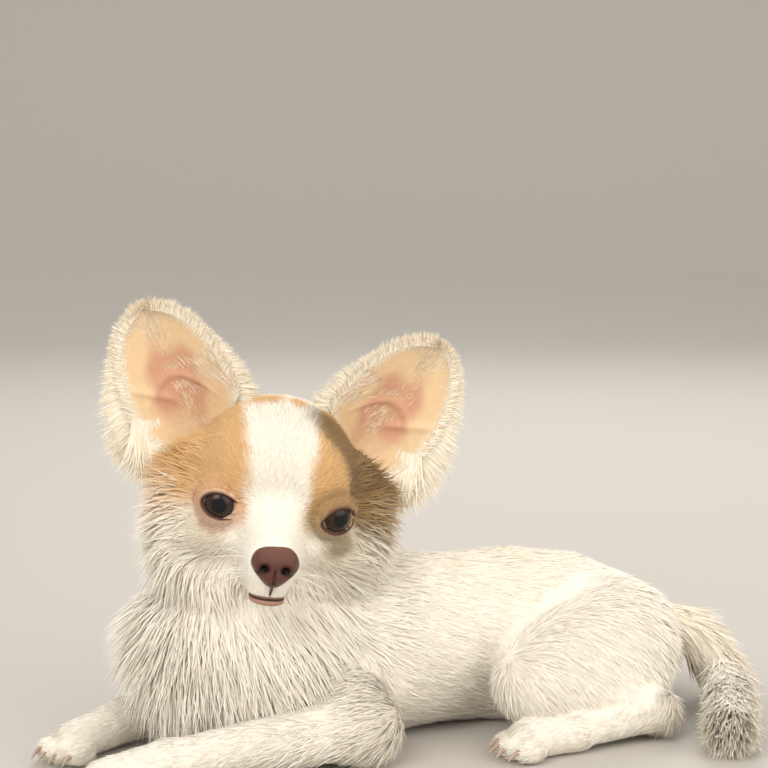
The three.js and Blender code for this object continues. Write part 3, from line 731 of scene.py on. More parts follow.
rows, columns = 64, 40
for side, label in sideLabels:
    s = np.linspace(-earSet["sunk"], 0.992, rows)[:, None] * np.ones((1, columns))
    v = np.linspace(-1, 1, columns)[None, :] * np.ones((rows, 1))
    normal = earNormal(side, s, np.clip(v, -0.98, 0.98))
    half = earSet["thickness"] / 2 * (1 - 0.72 * np.abs(v) ** 6) * (1 - 0.7 * np.maximum(0, s) ** 8)
    inner = earPoint(side, s, v) + normal * (half + earFolds(s, v))[..., None]
    outer = earPoint(side, s, v) - normal * half[..., None]
    ring = np.concatenate([inner, outer[:, ::-1]], 1)
    paint = np.concatenate([earColour(s, v, 1.0), earColour(s, v, 0.0)[:, ::-1]], 1)
    name = "ear_" + label
    tubePiece(name + "_skin", headToDog(ring), paint, "ear_skin", [name])
print("stage: ears")

# Eyes: a ball with a raised cornea; colour by the angle from the gaze, in radians.
materials["wet_eye"], eyeTree, eyeShader = newMaterial("wet_eye", 0.06)
setInputs(eyeTree, eyeShader, Base_Color=coatColourNode(eyeTree), IOR=1.36)
irisSet = {"gazeOut": {1: 24.0, -1: 4.0}, "gazeDown": 8.0, "pupil": 0.36, "iris": 0.74, "cornea": 0.55}
eyeColours = {
    "pupil": arr(0.004, 0.004, 0.005),
    "brown": arr(0.026, 0.012, 0.007),
    "streak": arr(0.012, 0.006, 0.003),
    "edge": arr(0.008, 0.006, 0.006),
    "white": arr(0.50, 0.37, 0.32),
}
# Lids: their colours, and for each ring how far it reaches into the face and how high over the eye's centre.
lidRim = arr(0.06, 0.028, 0.02)
lidBare = {1: arr(0.25, 0.14, 0.085), -1: arr(0.66, 0.42, 0.27)}
lidReach = arr(0, 0.0, 0.015, 0.04, 0.09, 0.16, 0.26, 0.4, 0.6, 0.8, 1.0)[:, None]
lidHeight = arr(7.3, 8.05, 8.55, 8.95, 9.2, 9.3, 9.3, 9.2, 9.0, 8.6, 8.0)[:, None]
lidGrids = {}
theta = np.linspace(0.02, math.pi - 0.02, 64)[:, None]
phi = np.linspace(0, 2 * math.pi, 72, endpoint=False)[None, :]
a = np.linspace(0, 2 * math.pi, 96, endpoint=False)
for side, label in sideLabels:
    axes = eyeAxes(side)
    gazeTurn = rotation("Z", side * irisSet["gazeOut"][side]) @ rotation("X", irisSet["gazeDown"])
    gaze = gazeTurn @ arr(0, -1, 0)
    sideways = unit(np.cross(gaze, arr(0, 0, 1)))
    upward = np.cross(sideways, gaze)
    fromGaze = sideways * (np.sin(theta) * np.cos(phi))[..., None]
    fromGaze = fromGaze + upward * (np.sin(theta) * np.sin(phi))[..., None]
    direction = gaze * np.cos(theta)[..., None] + fromGaze
    angle = theta * np.ones_like(phi)
    cornea = irisSet["cornea"] * smooth(0.85, 0.35, angle)
    ball = eyeCentre(side) + direction * (eyeSet["radius"] - 0.1 + cornea)[..., None]
    streaks = 0.5 + 0.5 * np.sin(phi * 23) * np.sin(phi * 7 + 1)
    brown = eyeColours["brown"] + streaks[..., None] * eyeColours["streak"]
    pupil, iris = irisSet["pupil"], irisSet["iris"]
    paint = painted(
        eyeColours["pupil"],
        (brown, smooth(pupil - 0.05, pupil + 0.03, angle)),
        (eyeColours["edge"], smooth(iris - 0.10, iris, angle)),
        (eyeColours["white"], smooth(iris + 0.01, iris + 0.08, angle)),
    )
    tubePiece("eyeball_" + label, headToDog(ball), paint, "wet_eye", ["eye_" + label])
    # Lids: from the opening's edge on the eye, over a rounded rim, back into the brow and cheek.
    middle = axes @ eyeOpening[side]
    wide = middle[0] + eyeShape["openWide"] * np.cos(a)
    tall = eyeShape["openTall"] * np.where(np.sin(a) > 0, 0.98, 0.92) * np.sin(a)
    tall = middle[2] + tall * (1 - 0.22 * np.cos(a) ** 2)
    polar = np.arcsin(np.clip(np.hypot(wide, tall) / 8.15, 0, 0.98))
    spread = mix(polar[None], 1.72, lidReach)
    local = aroundFront(spread, np.arctan2(tall, wide))
    creases = 0.14 * np.sin(a * 3 + side)[None] * smooth(0.1, 0.5, lidReach) + 0.1 * np.sin(spread * 22)
    lid = eyeCentre(side) + ((lidHeight + creases)[..., None] * local) @ axes
    furred = markings(headToDog(lid).reshape(-1, 3), np.zeros(spread.size)).reshape(lid.shape)
    furShare, rimShare = smooth(0.15, 0.4, lidReach), smooth(0.14, 0.05, lidReach)
    paint = painted(lidBare[side], (furred, furShare), (lidRim, rimShare))
    tubePiece("lids_" + label, headToDog(lid), paint, "lid_skin")
    lidGrids[label] = (lid, unit(lid - eyeCentre(side)), furred)
print("stage: eyes")


# A soft bump: 1 at the place (x, z), falling off over its width and height.
def bump(across, high, x, z, width, height):
    return np.exp(-(((across - x) / width) ** 2) - ((high - z) / height) ** 2)


# Nose: a rounded pad, wider above than below, with two nostrils and a groove down its middle.
noseSet = {"half": arr(9.0, 7.2, 8.0), "centre": noseCentre + arr(0.9, 0.2, -1.2)}
# The pad's own colour, near-black painted shade for its hollows, and a lighter painted highlight for its top.
padColour, hollowShadeColour, noseHighlightColour = arr(0.12, 0.045, 0.033), arr(0.010, 0.004, 0.003), arr(0.22, 0.09, 0.062)
theta = np.linspace(0.03, math.pi - 0.03, 90)[:, None]
phi = np.linspace(0, 2 * math.pi, 120, endpoint=False)[None, :]
ball = aroundFront(theta, phi)
pad = np.sign(ball) * np.abs(ball) ** arr(0.88, 1.0, 0.9) * noseSet["half"]
pad[..., 0] *= mix(0.58, 1.0, smooth(-8.5, 1.5, pad[..., 2]))
front = smooth(0.0, -3.0, pad[..., 1])
side, high = np.abs(pad[..., 0]), pad[..., 2]
groove = np.exp(-((side / 0.55) ** 2)) * smooth(2.0, -2.0, high)
nostril = bump(side, high, 3.8, -0.7, 1.75, 1.5)
slit = bump(side, high, 6.2, -2.4, 1.7, 0.8)
hollows = nostril * 2.9 + slit * 1.5 + groove * 0.8
dent = front * np.clip(hollows, 0, 3.2)
pad[..., 1] += dent - front * 0.55 * bump(side, high, 5.4, 1.4, 1.6, 1.6)
# Painted highlight: the upper front of the pad is painted lighter.
noseHighlightShare = smooth(2, 7, high) * 0.5 * front
# Painted shade: the nostrils, slits and groove are painted darker the deeper they are dented.
paint = painted(padColour, (hollowShadeColour, np.clip(dent / 1.7, 0, 1)), (noseHighlightColour, noseHighlightShare))
tubePiece("nose_pad", headToDog(noseSet["centre"] + pad), paint, "wet_nose", ["nose"])

# Lips: a soft band round the front of the muzzle, with a near-black line of painted shade in the crease where
# they meet.
lipColour = arr(0.40, 0.23, 0.165)
lips = {
    "lip_upper": {"rise": 0.6, "thick": 0.65, "ahead": 0.0, "colour": lipColour * 0.55},
    "lip_lower": {"rise": -1.15, "thick": 1.2, "ahead": 0.0, "colour": lipColour},
    # Painted shade: a near-black band along the crease between the lips.
    "mouth_crease_shade": {"rise": -0.1, "thick": 0.45, "ahead": 0.25, "colour": arr(0.05, 0.02, 0.015)},
}
upward = arr(0, 0, 1)
t = np.linspace(-1, 1, 61)
out = np.stack([np.sin(t * 1.25 + 0.06), -np.cos(t * 1.25 + 0.06), np.zeros_like(t)], 1)
start = np.stack([np.zeros_like(t), np.full_like(t, -30.0), -39.9 + 0.5 * t * t], 1)
lipPath = leaves(bareHead, start, out)
fullness = np.maximum(1 - t * t, 0.0) ** 0.8
for name, look in lips.items():
    path = lipPath + upward * (look["rise"] * fullness)[:, None] + out * look["ahead"]
    rings = sweep(path, upward, (0.9 * fullness + 0.1, look["thick"] * fullness + 0.12))
    tubePiece(name, headToDog(rings), np.ones_like(rings) * look["colour"], "lip_skin")
drop = np.linspace(0, 1, 12)[:, None]
path = mix(arr(0.8, -50.0, -33.2), lipPath[30] + arr(0, -0.2, 1.2), drop)
rings = sweep(path, arr(0, 1, 0), (np.linspace(0.7, 0.4, 12), np.full(12, 0.4)))
tubePiece("philtrum", headToDog(rings), np.ones_like(rings) * lipColour * 0.3, "lip_skin")
print("stage: nose and mouth")

# Claws: small curved cones, one ahead of each toe.
clawSet = {"start": 5.6, "length": 5.4, "droop": 3.4, "width": 1.15}
clawColours = arr(0.46, 0.27, 0.20), arr(0.50, 0.42, 0.33)
feet = [(foreleg[k]["wrist"], foreleg[k]["toes"]) for k in (1, -1)]
feet += [(hindLeg(k)["ankle"], hindLeg(k)["toes"]) for k in (1, -1)]
clawNumber = 0
width = clawSet["width"] * (1 - np.linspace(0, 0.96, 12)) ** 0.6
for wrist, toes in feet:
    places, forward, across = toePlaces(wrist, toes)
    for place in places:
        clawNumber += 1
        path = place + forward * (clawSet["start"] + clawSet["length"] * drop)
        path = path + upward * (0.6 - clawSet["droop"] * drop**2)
        rings = sweep(path, upward, (width * 0.8, width))
        paint = mix(*clawColours, drop[:, None]) * np.ones_like(rings)
        tubePiece(f"claw_{clawNumber}", rings, paint, "claw_horn")
print("stage: claws")

# Coat: what each region's hair is like, in millimetres; the lie is in dog or head directions.
hairSet = {
    "torso": {"length": 9.0, "width": 1.0, "lift": 0.13, "density": 1.7},
    "ruff": {"length": 27.0, "width": 1.1, "lift": 0.54, "density": 1.7},
    "foreleg": {"length": 6.0, "width": 0.85, "lift": 0.12, "density": 2.2},
    "forepaw": {"length": 3.4, "width": 0.7, "lift": 0.13, "density": 3.0},
    "thigh": {"length": 8.5, "width": 1.0, "lift": 0.13, "density": 1.7},
    "foot": {"length": 3.8, "width": 0.75, "lift": 0.13, "density": 2.6},
    "tail": {"length": 22.0, "width": 1.2, "lift": 0.28, "density": 4.0},
    "head": {"length": 4.2, "width": 0.55, "lift": 0.17, "density": 5.5},
}
# Hair on the head lies away from this place ahead of the nose.
hairParting = arr(0, -62, -16)
densityScale = 0.9
# Where the hair grows away from its region's own sizes, in this order, and what it reaches there
grownHair = {
    "cheek": {"length": 25.0, "width": 1.0, "lift": 0.68},
    "temple": {"length": 16.0, "width": 0.9, "lift": 0.6},
    "nape": {"length": 13.0, "width": 0.85, "lift": 0.3},
    "sides": {"length": 30.0, "lift": 0.82},
    "crown": {"length": 6.0, "lift": 0.4},
    "feather": {"length": 12.0, "lift": 0.24},
    "apron": {"length": 32.0},
    "rear": {"length": 16.0, "lift": 0.26},
    "withers": {"length": 15.0, "lift": 0.26},
}


# The region's kind of hair is its name without the side.
def regionKind(name):
    return name.rstrip("LR")


# How much of each region a point belongs to, softly, from its fields.
def regionWeights(p):
    distances = np.full((len(p), len(regionNames)), 40.0)
    for k, (field, depth, low, high, _) in enumerate(regions.values()):
        near = np.all((p > np.array(low)) & (p < np.array(high)), axis=1)
        if near.any():
            distances[near, k] = field(p[near]) + depth
    distances -= distances.min(1, keepdims=True)
    weights = np.exp(-distances / 2.2)
    return weights / weights.sum(1, keepdims=True)


# The summed weight of the regions of these names
def weightOf(weights, *names):
    return weights[:, [regionNames.index(name) for name in names]].sum(1)


def tailDirection(p):
    gaps = np.linalg.norm(p[:, None] - tailPath[None], axis=-1)
    nearest = np.clip(gaps.argmin(1), 0, len(tailPath) - 2)
    return unit(tailPath[nearest + 1] - tailPath[nearest])


# The lie of the hair: along the back and limbs, down the ruff, away from the nose on the head.
def lieOfCoat(p, n, weights):
    q = dogToHead(p)
    lie = np.zeros_like(p)
    for k, name in enumerate(regionNames):
        w = weights[:, k : k + 1]
        if w.max() < 0.01:
            continue
        kind = regionKind(name)
        side = 1 if name.endswith("L") else -1
        if kind == "torso":
            flow = np.stack([0.1 * np.sign(p[:, 0]), np.ones(len(p)), np.full(len(p), -0.35)], 1)
        elif kind == "ruff":
            flow = np.stack([0.006 * (p[:, 0] - 5), 0.35 + 0.004 * (p[:, 1] + 95), -np.ones(len(p))], 1)
        elif kind in ("foreleg", "forepaw"):
            leg = foreleg[side]
            flow = unit(leg["toes"] - leg["elbow"]) + arr(0, 0, -0.1)
        elif kind == "thigh":
            flow = arr(0.1 * side, 0.75, -0.75)
        elif kind == "foot":
            flow = arr(0.0, -1.0, -0.1)
        elif kind == "tail":
            flow = tailDirection(p)
        else:
            away = unit(q - hairParting)
            cheek = smooth(-4.0, -26.0, q[:, 2]) * smooth(-30.0, -5.0, q[:, 1])
            sideways = 1.4 * smooth(17.0, 27.0, np.abs(q[:, 0])) * smooth(-24.0, -6.0, q[:, 1])
            local = away + cheek[:, None] * arr(0, 0.2, -0.9)
            local[:, 0] += (cheek * 1.2 + sideways) * np.sign(q[:, 0])
            local = local + smooth(-2.0, 16.0, q[:, 1])[:, None] * arr(0, 0.3, -1.3)
            flow = unit(local) @ headTurn.T
        lie += w * unit(flow)
    flat = unit(lie - (lie * n).sum(1, keepdims=True) * n)
    # Hair at the end of the tail and round the elbows keeps to its own flow instead of fanning out.
    trailing = weightOf(weights, "tail") * 0.85 + weightOf(weights, "forelegL", "forelegR") * 0.2
    return unit(mix(flat, unit(lie), trailing[:, None]))


# Sizes of the hair: each region's own by weight, shorter on the muzzle, and longer where grownHair says.
def coatSizes(p, n, weights):
    q = dogToHead(p)
    aside, ahead, high = np.abs(q[:, 0]), q[:, 1], q[:, 2]
    size = {key: np.zeros(len(p)) for key in ("length", "width", "lift", "density")}
    for k, name in enumerate(regionNames):
        for key in size:
            size[key] += weights[:, k] * hairSet[regionKind(name)][key]
    onHead = weightOf(weights, "head")
    torso = weightOf(weights, "torso")
    thighs = weightOf(weights, "thighL", "thighR")
    muzzle = smooth(-24.0, -40.0, ahead) * onHead
    cheek = smooth(-14.0, 4.0, ahead) * smooth(14.0, -6.0, high)
    jowl = smooth(-26.0, -8.0, ahead) * smooth(-22.0, -34.0, high) * 0.7
    temple = onHead * smooth(19.0, 27.0, aside) * smooth(-20.0, -4.0, ahead) * smooth(20.0, 8.0, high)
    sides = smooth(13.0, 23.0, aside) * smooth(-20.0, -5.0, ahead) * smooth(10.0, -4.0, high)
    feather = weightOf(weights, "forelegL", "forelegR")
    feather = feather * smooth(-0.1, 0.6, n[:, 1] * 0.5 + np.abs(n[:, 0]) * 0.6) * smooth(-130, -75, p[:, 1])
    share = {
        "cheek": onHead * np.maximum(cheek, jowl),
        "temple": temple,
        "nape": onHead * smooth(2.0, 14.0, ahead) * smooth(30.0, 20.0, high),
        "sides": sides * onHead,
        "crown": onHead * smooth(16.0, 28.0, high) * (1 - temple),
        "feather": feather,
        "apron": weightOf(weights, "ruff") * smooth(60, 30, p[:, 2]),
        "rear": np.maximum(thighs, torso) * smooth(0.1, 0.8, n[:, 1]) * smooth(40, 62, p[:, 1]),
        "withers": torso * smooth(-30, -62, p[:, 1]) * smooth(20, 60, p[:, 2]),
    }
    size["length"] *= 1 - 0.55 * muzzle
    size["width"] *= 1 - 0.25 * muzzle
    size["density"] *= 1 + 0.5 * muzzle
    size["density"] *= 1 - 0.35 * share["sides"]
    for place, aims in grownHair.items():
        for key, aim in aims.items():
            size[key] = mix(size[key], aim, share[place])
    return size


# Roots are drawn on the skin, with a chance in proportion to the density wanted there: few under the dog,
# none in the eyes' openings or under the nose.
underside = {"below": 1.6, "share": 0.05}
triangles = np.vstack([skinQuads[:, [0, 1, 2]], skinQuads[:, [0, 2, 3]]])
corners = skinVerts[triangles]
areas = 0.5 * np.linalg.norm(np.cross(corners[:, 1] - corners[:, 0], corners[:, 2] - corners[:, 0]), axis=1)
middles = corners.mean(1)
middleNormals = unit(skinNormals[triangles].mean(1))
wanted = areas * coatSizes(middles, middleNormals, regionWeights(middles))["density"] * densityScale
wanted *= np.where(middles[:, 2] < underside["below"], underside["share"], 1.0)
headPlaces = dogToHead(middles)
for side in (1, -1):
    local = (headPlaces - eyeCentre(side) - eyeOpening[side]) @ eyeAxes(side).T
    fromEye = np.hypot(local[:, 0] / eyeShape["openWide"], local[:, 2] / eyeShape["openTall"])
    wanted *= np.where(local[:, 1] < 2.0, smooth(1.12, 1.4, fromEye), 1.0)
wanted *= smooth(0.9, 1.12, np.linalg.norm((headPlaces - noseCentre) / arr(9.5, 8.5, 8.6), axis=1))
chosen = np.repeat(np.arange(len(triangles)), rng.poisson(wanted))
r1, r2 = rng.random((2, len(chosen)))
over = r1 + r2 > 1
r1[over], r2[over] = 1 - r1[over], 1 - r2[over]
shares = np.stack([1 - r1 - r2, r1, r2], 1)
roots = (corners[chosen] * shares[..., None]).sum(1)
rootNormals = unit((skinNormals[triangles[chosen]] * shares[..., None]).sum(1))
print("stage: tufts", len(roots))
rootWeights = regionWeights(roots)
rootSizes = coatSizes(roots, rootNormals, rootWeights)
rootLie = lieOfCoat(roots, rootNormals, rootWeights)
tuftSet = {"turn": 0.14, "roll": 0.3, "bend": 0.09, "curl": 0.30, "droop": 0.12, "softness": 0.35}


# One tuft to a row: root, skin's normal, lie, colour, place in the map, length, width and lift.
# Each is a three-sided tapered blade; its centre line leaves along the lie, lifts, droops and turns aside.
def tuftMesh(name, tufts, rings):
    count = len(tufts)
    at, normal, lie, colour, patches = np.split(tufts[:, :14], (3, 6, 9, 12), axis=1)
    length, width, lift = tufts[:, 14:].T
    side = unit(np.cross(lie, normal))
    lie = unit(lie + side * rng.normal(0, tuftSet["turn"], count)[:, None])
    rise = np.minimum(lift, 0.9)[:, None]
    axis = unit(lie * np.sqrt(1 - rise**2) + normal * rise)
    over = unit(normal - axis * (normal * axis).sum(1, keepdims=True))
    flat = unit(np.cross(axis, over) + over * rng.normal(0, tuftSet["roll"], count)[:, None])
    over = unit(np.cross(flat, axis))
    bend = flat * (rng.normal(0, tuftSet["bend"], count) * length)[:, None]
    curl = -normal * (tuftSet["curl"] * length * rise[:, 0])[:, None]
    droop = arr(0, 0, -1) * (tuftSet["droop"] * length * rise[:, 0])[:, None]
    start = at - normal * (0.12 + 0.38 * smooth(4.0, 12.0, length))[:, None]
    steps = np.array(rings)
    points = []
    for s in steps:
        centre = start + axis * (length * s)[:, None] + (bend + curl + droop) * s * s
        half = (width * 0.5 * (1 - 0.7 * s**1.5))[:, None]
        points += [centre + flat * half, centre - flat * half, centre + over * half * 0.55]
    points.append(start + axis * length[:, None] + bend + curl + droop)
    verts = np.stack(points, 1)
    verts[..., 2] = np.maximum(verts[..., 2], 0.3)
    perTuft = verts.shape[1]
    faces = [(0, 2, 1)]
    isUpper = [False]
    for a in range(0, perTuft - 1, 3):
        for j in range(3):
            k = (j + 1) % 3
            if a + 3 == perTuft - 1:
                faces.append((a + j, a + k, a + 3))
                isUpper.append(j > 0)
            else:
                faces += [(a + j, a + k, a + 3 + k), (a + j, a + 3 + k, a + 3 + j)]
                isUpper += [j > 0] * 2
    faces = np.array(faces)
    allFaces = (faces[None] + (np.arange(count) * perTuft)[:, None, None]).reshape(-1, 3)
    levels = np.append(np.repeat(steps, 3), 1.0)
    # Painted shade: each tuft is painted darker at its root, among the other tufts, and lighter towards its
    # tip.
    colours = np.clip(colour[:, None, :] * (0.94 + 0.08 * levels)[None, :, None], 0, 0.97)
    obj = makeMesh(name, verts.reshape(-1, 3), allFaces, colours.reshape(-1, 3), "hair")
    # The upper sides take most of their shading from the skin below, as a soft coat does.
    sideways = np.append(np.tile([1.0, -1.0, 0.0], len(steps)), 0.0)
    fan = flat[:, None] * sideways[None, :, None] * tuftSet["softness"]
    upper, lower = (over[:, None] + fan)[:, faces], (fan - over[:, None])[:, faces]
    corner = np.where(np.array(isUpper)[None, :, None, None], upper, lower)
    obj.data.normals_split_custom_set(unit(corner.reshape(-1, 3)).astype(np.float32))
    uv = np.repeat(patches, perTuft, axis=0).reshape(count, perTuft, 2)
    uv = np.clip(uv + (np.stack([sideways, levels * 2 - 1], 1) * 0.0015)[None], 0.0005, 0.9995)
    setMap(obj, uv.reshape(-1, 2)[allFaces.ravel()])
    finishPiece(obj)


# The same, for rows in the head's frame
def headTuftMesh(name, rings, *columns):
    tufts = np.column_stack(columns)
    turned = [tufts[:, 3:6] @ headTurn.T, tufts[:, 6:9] @ headTurn.T]
    tuftMesh(name, np.column_stack([headToDog(tufts[:, :3]), *turned, tufts[:, 9:]]), rings)


shortRings = (0.0,)
longRings = (0.0, 0.5)
pieceLimit = {"long": 19000, "short": 45000}
longFrom = 11.0
count = len(roots)
shadeOf = 1 + rng.normal(0, 0.05, count)
lengthOf = rootSizes["length"] * rng.uniform(0.72, 1.18, count)
liftOf = np.clip(rootSizes["lift"] + rng.normal(0, 0.06, count), 0.03, 0.9)
widthOf = rootSizes["width"] * rng.uniform(0.75, 1.2, count)
hairColour = markings(roots, wobbleAt(roots, 9.0, 3) + rng.normal(0, 0.35, count)) * shadeOf[:, None]
patchOf = chartPlaces(roots, rootNormals)
coat = np.column_stack([roots, rootNormals, rootLie, hairColour, patchOf, lengthOf, widthOf, liftOf])
isLong = lengthOf > longFrom
pieceNumber = 0
for label, rings in (("short", shortRings), ("long", longRings)):
    mine = coat[isLong == (label == "long")]
    mine = mine[np.argsort(mine[:, 1])]
    for part in np.array_split(mine, max(1, math.ceil(len(mine) / pieceLimit[label]))):
        pieceNumber += 1
        tuftMesh(f"coat_{label}_{pieceNumber}", part, rings)
print("stage: coat in", pieceNumber, "pieces,", isLong.sum(), "long and", (~isLong).sum(), "short tufts")

# Hair of the ears: short over the back, sparse inside, a long fringe from the rim and tufts at the base.
earHairSet = {
    "back": {"count": 9000, "length": 5.0, "lift": 0.14, "width": 0.6},
    "front": {"count": 9000, "length": 5.0, "lift": 0.14, "width": 0.6},
    "rim": {"count": 3600, "length": 14.0, "lift": 0.12, "width": 0.75},
    "root": {"count": 600, "length": 8.5, "lift": 0.14, "width": 0.6},
    "base": {"count": 1500, "length": 19.0, "lift": 0.3, "width": 0.95},
}


def earHair(side, label):
    draw = np.random.default_rng(77 + side)
    kinds = []
    for kind, look in earHairSet.items():
        n = int(look["count"] * densityScale)
        s = draw.uniform(-0.2, 0.985, n)
        v = draw.uniform(-1, 1, n)
        length = np.full(n, look["length"])
        if kind == "rim":
            v = np.sign(v) * draw.uniform(0.9, 1.0, n)
            isTip = draw.random(n) < 0.2
            s = np.where(isTip, draw.uniform(0.93, 0.985, n), s)
            v = np.where(isTip, draw.uniform(-1, 1, n), v)
            length = mix(look["length"], 4.5, smooth(0.0, 0.85, s)) * np.where(v > 0, 1.2, 0.7)
        elif kind == "root":
            s = draw.uniform(-0.15, 0.4, n)
            v = -1 + 1.3 * draw.random(n) ** 1.6
        elif kind == "base":
            s = draw.uniform(-0.2, 0.22, n)
            v = draw.uniform(0.55, 1.0, n)
        elif kind == "front":
            inside = smooth(0.3, 0.8, np.maximum(np.abs(v), smooth(0.35, 0.95, s)))
            keep = draw.random(n) < mix(0.22, 1.0, inside)
            s, v, length = s[keep], v[keep], length[keep]
        normal = earNormal(side, s, np.clip(v, -0.97, 0.97))
        if kind == "back":
            normal = -normal
        elif kind == "base":
            normal = -normal * np.sign(draw.uniform(-1, 1, (len(s), 1)))
        at = earPoint(side, s, v) + normal * (earSet["thickness"] / 2) * (0.0 if kind == "rim" else 0.8)
        along = unit(earPoint(side, np.minimum(s + 0.02, 0.99), v) - earPoint(side, s - 0.02, v))
        edge = np.ones_like(v)
        outward = unit(earPoint(side, s, edge) - earPoint(side, s, -edge)) * np.sign(v)[:, None]
        white = mix(coatColour["cream"], coatColour["white"], draw.random((len(s), 1)))
        if kind == "rim":
            tip = smooth(0.8, 0.97, s)[:, None]
            lie = unit(outward * (1 - 0.8 * tip) + along * (mix(-0.55, 0.35, s)[:, None] + tip))
            colour = white
        elif kind == "root":
            lie = along - outward * 0.35
            lie = unit(lie - normal * (lie * normal).sum(1, keepdims=True))
            colour = mix(white, coatColour["tan"], 0.3)
        elif kind == "base":
            lie = unit(outward * 0.35 - along * 0.9 + arr(0, 0, -0.5))
            colour = white
        else:
            lie = unit(along * 0.8 + outward * np.abs(v)[:, None])
            colour = mix(earColour(s, v, 0.0), white, (0.35 + 0.5 * smooth(0.72, 0.98, np.abs(v)))[:, None])
        width, lift = (np.full(len(s), look[k]) for k in ("width", "lift"))
        sizes = length * draw.uniform(0.7, 1.2, len(s)), width, lift
        kinds.append([at, normal, lie, colour, (s + 0.3) / 1.35, v * 0.45 + 0.5, *sizes])
    for piece, part, rings in (("ear_down_", kinds[:2], shortRings), ("ear_fringe_", kinds[2:], longRings)):
        at, normal, lie, colour, *others = (np.concatenate(column) for column in zip(*part))
        colour = colour * (1 + draw.normal(0, 0.05, (len(at), 1)))
        headTuftMesh(piece + label, rings, at, normal, lie, colour, *others)


# Short hair on the lids, from their bare rims outward
def lidHair(side, label):
    draw = np.random.default_rng(31 + side)
    lid, normal, colour = lidGrids[label]
    rows, columns, _ = lid.shape
    count = int(3600 * densityScale)
    u = draw.uniform(4.0, rows - 1.6, count)
    column = draw.integers(0, columns, count)
    low = u.astype(int)
    share = (u - low)[:, None]
    at, up, tint = (mix(k[low, column], k[low + 1, column], share) for k in (lid, normal, colour))
    lie = unit(lid[-1, column] - lid[2, column]) + unit(at - hairParting) * 0.8
    lie = unit(lie - up * (lie * up).sum(1, keepdims=True))
    length = mix(1.6, 3.6, smooth(4.0, 7.0, u)) * draw.uniform(0.8, 1.2, count)
    tint = mix(tint, tint * arr(0.82, 0.72, 0.62), smooth(6.0, 4.0, u)[:, None])
    tint = tint * (1 + draw.normal(0, 0.05, (count, 1)))
    sizes = length, np.full(count, 0.45), np.full(count, 0.2)
    headTuftMesh("lid_hair_" + label, shortRings, at, unit(up), lie, tint, u / rows, column / columns, *sizes)


for addHair in (earHair, lidHair):
    for side, label in sideLabels:
        addHair(side, label)

# Whiskers: a few fine hairs on each side of the muzzle
whiskerSet = {"count": 14, "shortest": 15, "longest": 24, "width": 0.28, "lift": 0.75}
draw = np.random.default_rng(5)
count = whiskerSet["count"]
aside = np.repeat([1, -1], count // 2) * 0.9
out = unit(np.stack([aside, draw.uniform(-0.5, 0.1, count), draw.uniform(-0.2, 0.25, count)], 1))
start = np.stack([np.zeros(count), draw.uniform(-40, -34, count), draw.uniform(-34, -27, count)], 1)
lie = unit(out * 0.4 + arr(0, 0.5, -0.2))
white, place = (np.tile(row, (count, 1)) for row in (coatColour["white"], arr(0.5, 0.5)))
length = draw.uniform(whiskerSet["shortest"], whiskerSet["longest"], count)
sizes = length, np.full(count, whiskerSet["width"]), np.full(count, whiskerSet["lift"])
headTuftMesh("whiskers", (0.0, 0.34, 0.68), leaves(bareHead, start, out), out, lie, white, place, *sizes)
print("stage: ear hair and whiskers")
print("stage: ear hair and whiskers")


# Stands an object at a place, in metres, with its -Z axis along a direction.
def pointed(obj, place, along):
    obj.location = place
    obj.rotation_mode = "QUATERNION"
    obj.rotation_quaternion = along.to_track_quat("-Z", "Y")
    return obj


# Stage: a pale floor, soft light from the upper left, and the camera at the photo's place
cameraSet = {"azimuth": 70.0, "elevation": 7.0, "lens": 95.0, "sensor": 36.0}
cameraPlace = arr(759.2, -314.4, 240.1)
cameraData = bpy.data.cameras.new("camera")
cameraData.lens = cameraSet["lens"]
cameraData.sensor_width = cameraSet["sensor"]
cameraData.clip_start = 0.05
cameraData.clip_end = 200.0
azimuth, elevation = (math.radians(cameraSet[k]) for k in ("azimuth", "elevation"))
level = math.cos(elevation)
backward = Vector((math.sin(azimuth) * level, -math.cos(azimuth) * level, math.sin(elevation)))
camera = pointed(addObject("camera", cameraData), toRow(cameraPlace), -backward)
bpy.context.scene.camera = camera


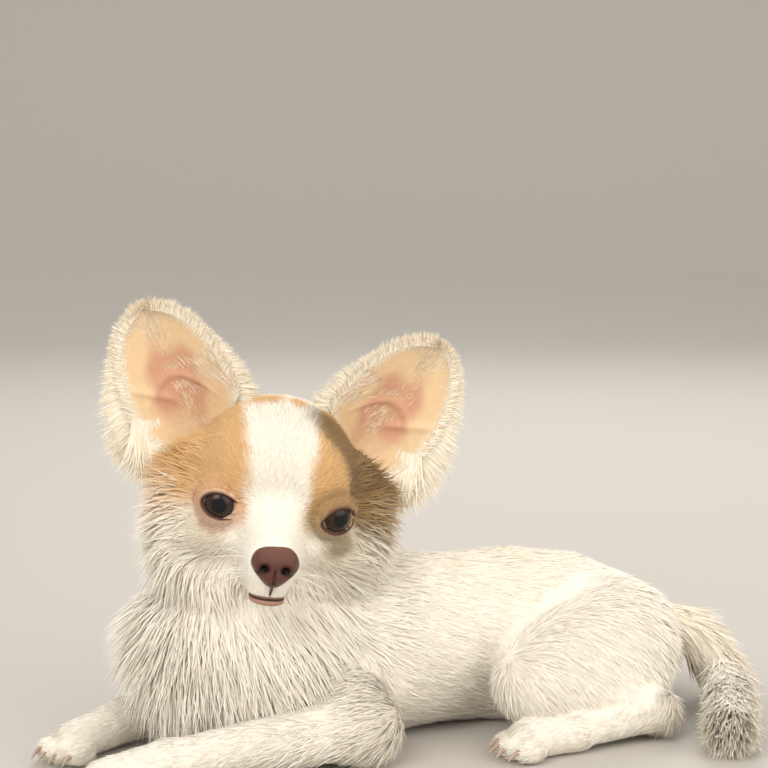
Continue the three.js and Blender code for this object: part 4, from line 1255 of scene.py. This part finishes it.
def softLight(name, place, aim, energy, size, colour):
    data = bpy.data.lights.new(name, "AREA")
    data.energy = energy
    data.size = size
    data.color = colour
    pointed(addObject(name, data), place, Vector(aim) - Vector(place))


softLight("key_light", (0.9, -0.9, 1.1), (0.0, -0.02, 0.06), 13.0, 1.0, (1.0, 0.975, 0.93))
softLight("fill_light", (1.2, 0.7, 0.6), (0.0, 0.0, 0.06), 9.5, 1.4, (1.0, 0.96, 0.90))
softLight("rim_light", (-0.9, 0.5, 1.0), (0.0, 0.0, 0.08), 8.0, 0.8, (1.0, 0.98, 0.95))
world = bpy.data.worlds.new("studio")
world.use_nodes = True
world.node_tree.nodes["Background"].inputs["Color"].default_value = (0.95, 0.93, 0.90, 1.0)
world.node_tree.nodes["Background"].inputs["Strength"].default_value = 0.75
bpy.context.scene.world = world
bpy.context.scene.view_settings.view_transform = "Standard"

floorMaterial, floorTree, floorShader = newMaterial("pale_floor", 0.9)
setInputs(floorTree, floorShader, Base_Color=(0.56, 0.53, 0.49, 1.0))
noiseInto(floorTree, floorShader, 60.0, 0.05, 0.001)
# The floor runs back along the view, then curves up into a wall.
sweepSet = {"flat": 1.5, "radius": 1.1, "front": 4.0, "wide": 6.0, "wall": 3.0}
turn = np.linspace(0, math.pi / 2, 25)
away = np.concatenate([[-sweepSet["front"]], sweepSet["flat"] + sweepSet["radius"] * np.sin(turn)])
high = np.concatenate([[0.0], sweepSet["radius"] * (1 - np.cos(turn))])
away = np.append(away, away[-1])
high = np.append(high, sweepSet["wall"])
awayFrom = arr(-math.sin(azimuth), math.cos(azimuth), 0)
sideOf = arr(math.cos(azimuth), math.sin(azimuth), 0)
profile = away[:, None] * awayFrom + high[:, None] * arr(0, 0, 1)
sweepVerts = np.concatenate([profile - sideOf * sweepSet["wide"], profile + sideOf * sweepSet["wide"]])
last = len(profile)
floorMesh = bpy.data.meshes.new("floor")
floorMesh.from_pydata(sweepVerts.tolist(), [], [(k + 1, k, k + last, k + last + 1) for k in range(last - 1)])
floorMesh.polygons.foreach_set("use_smooth", [True] * (last - 1))
floorMesh.materials.append(floorMaterial)
floor = addObject("floor", floorMesh)
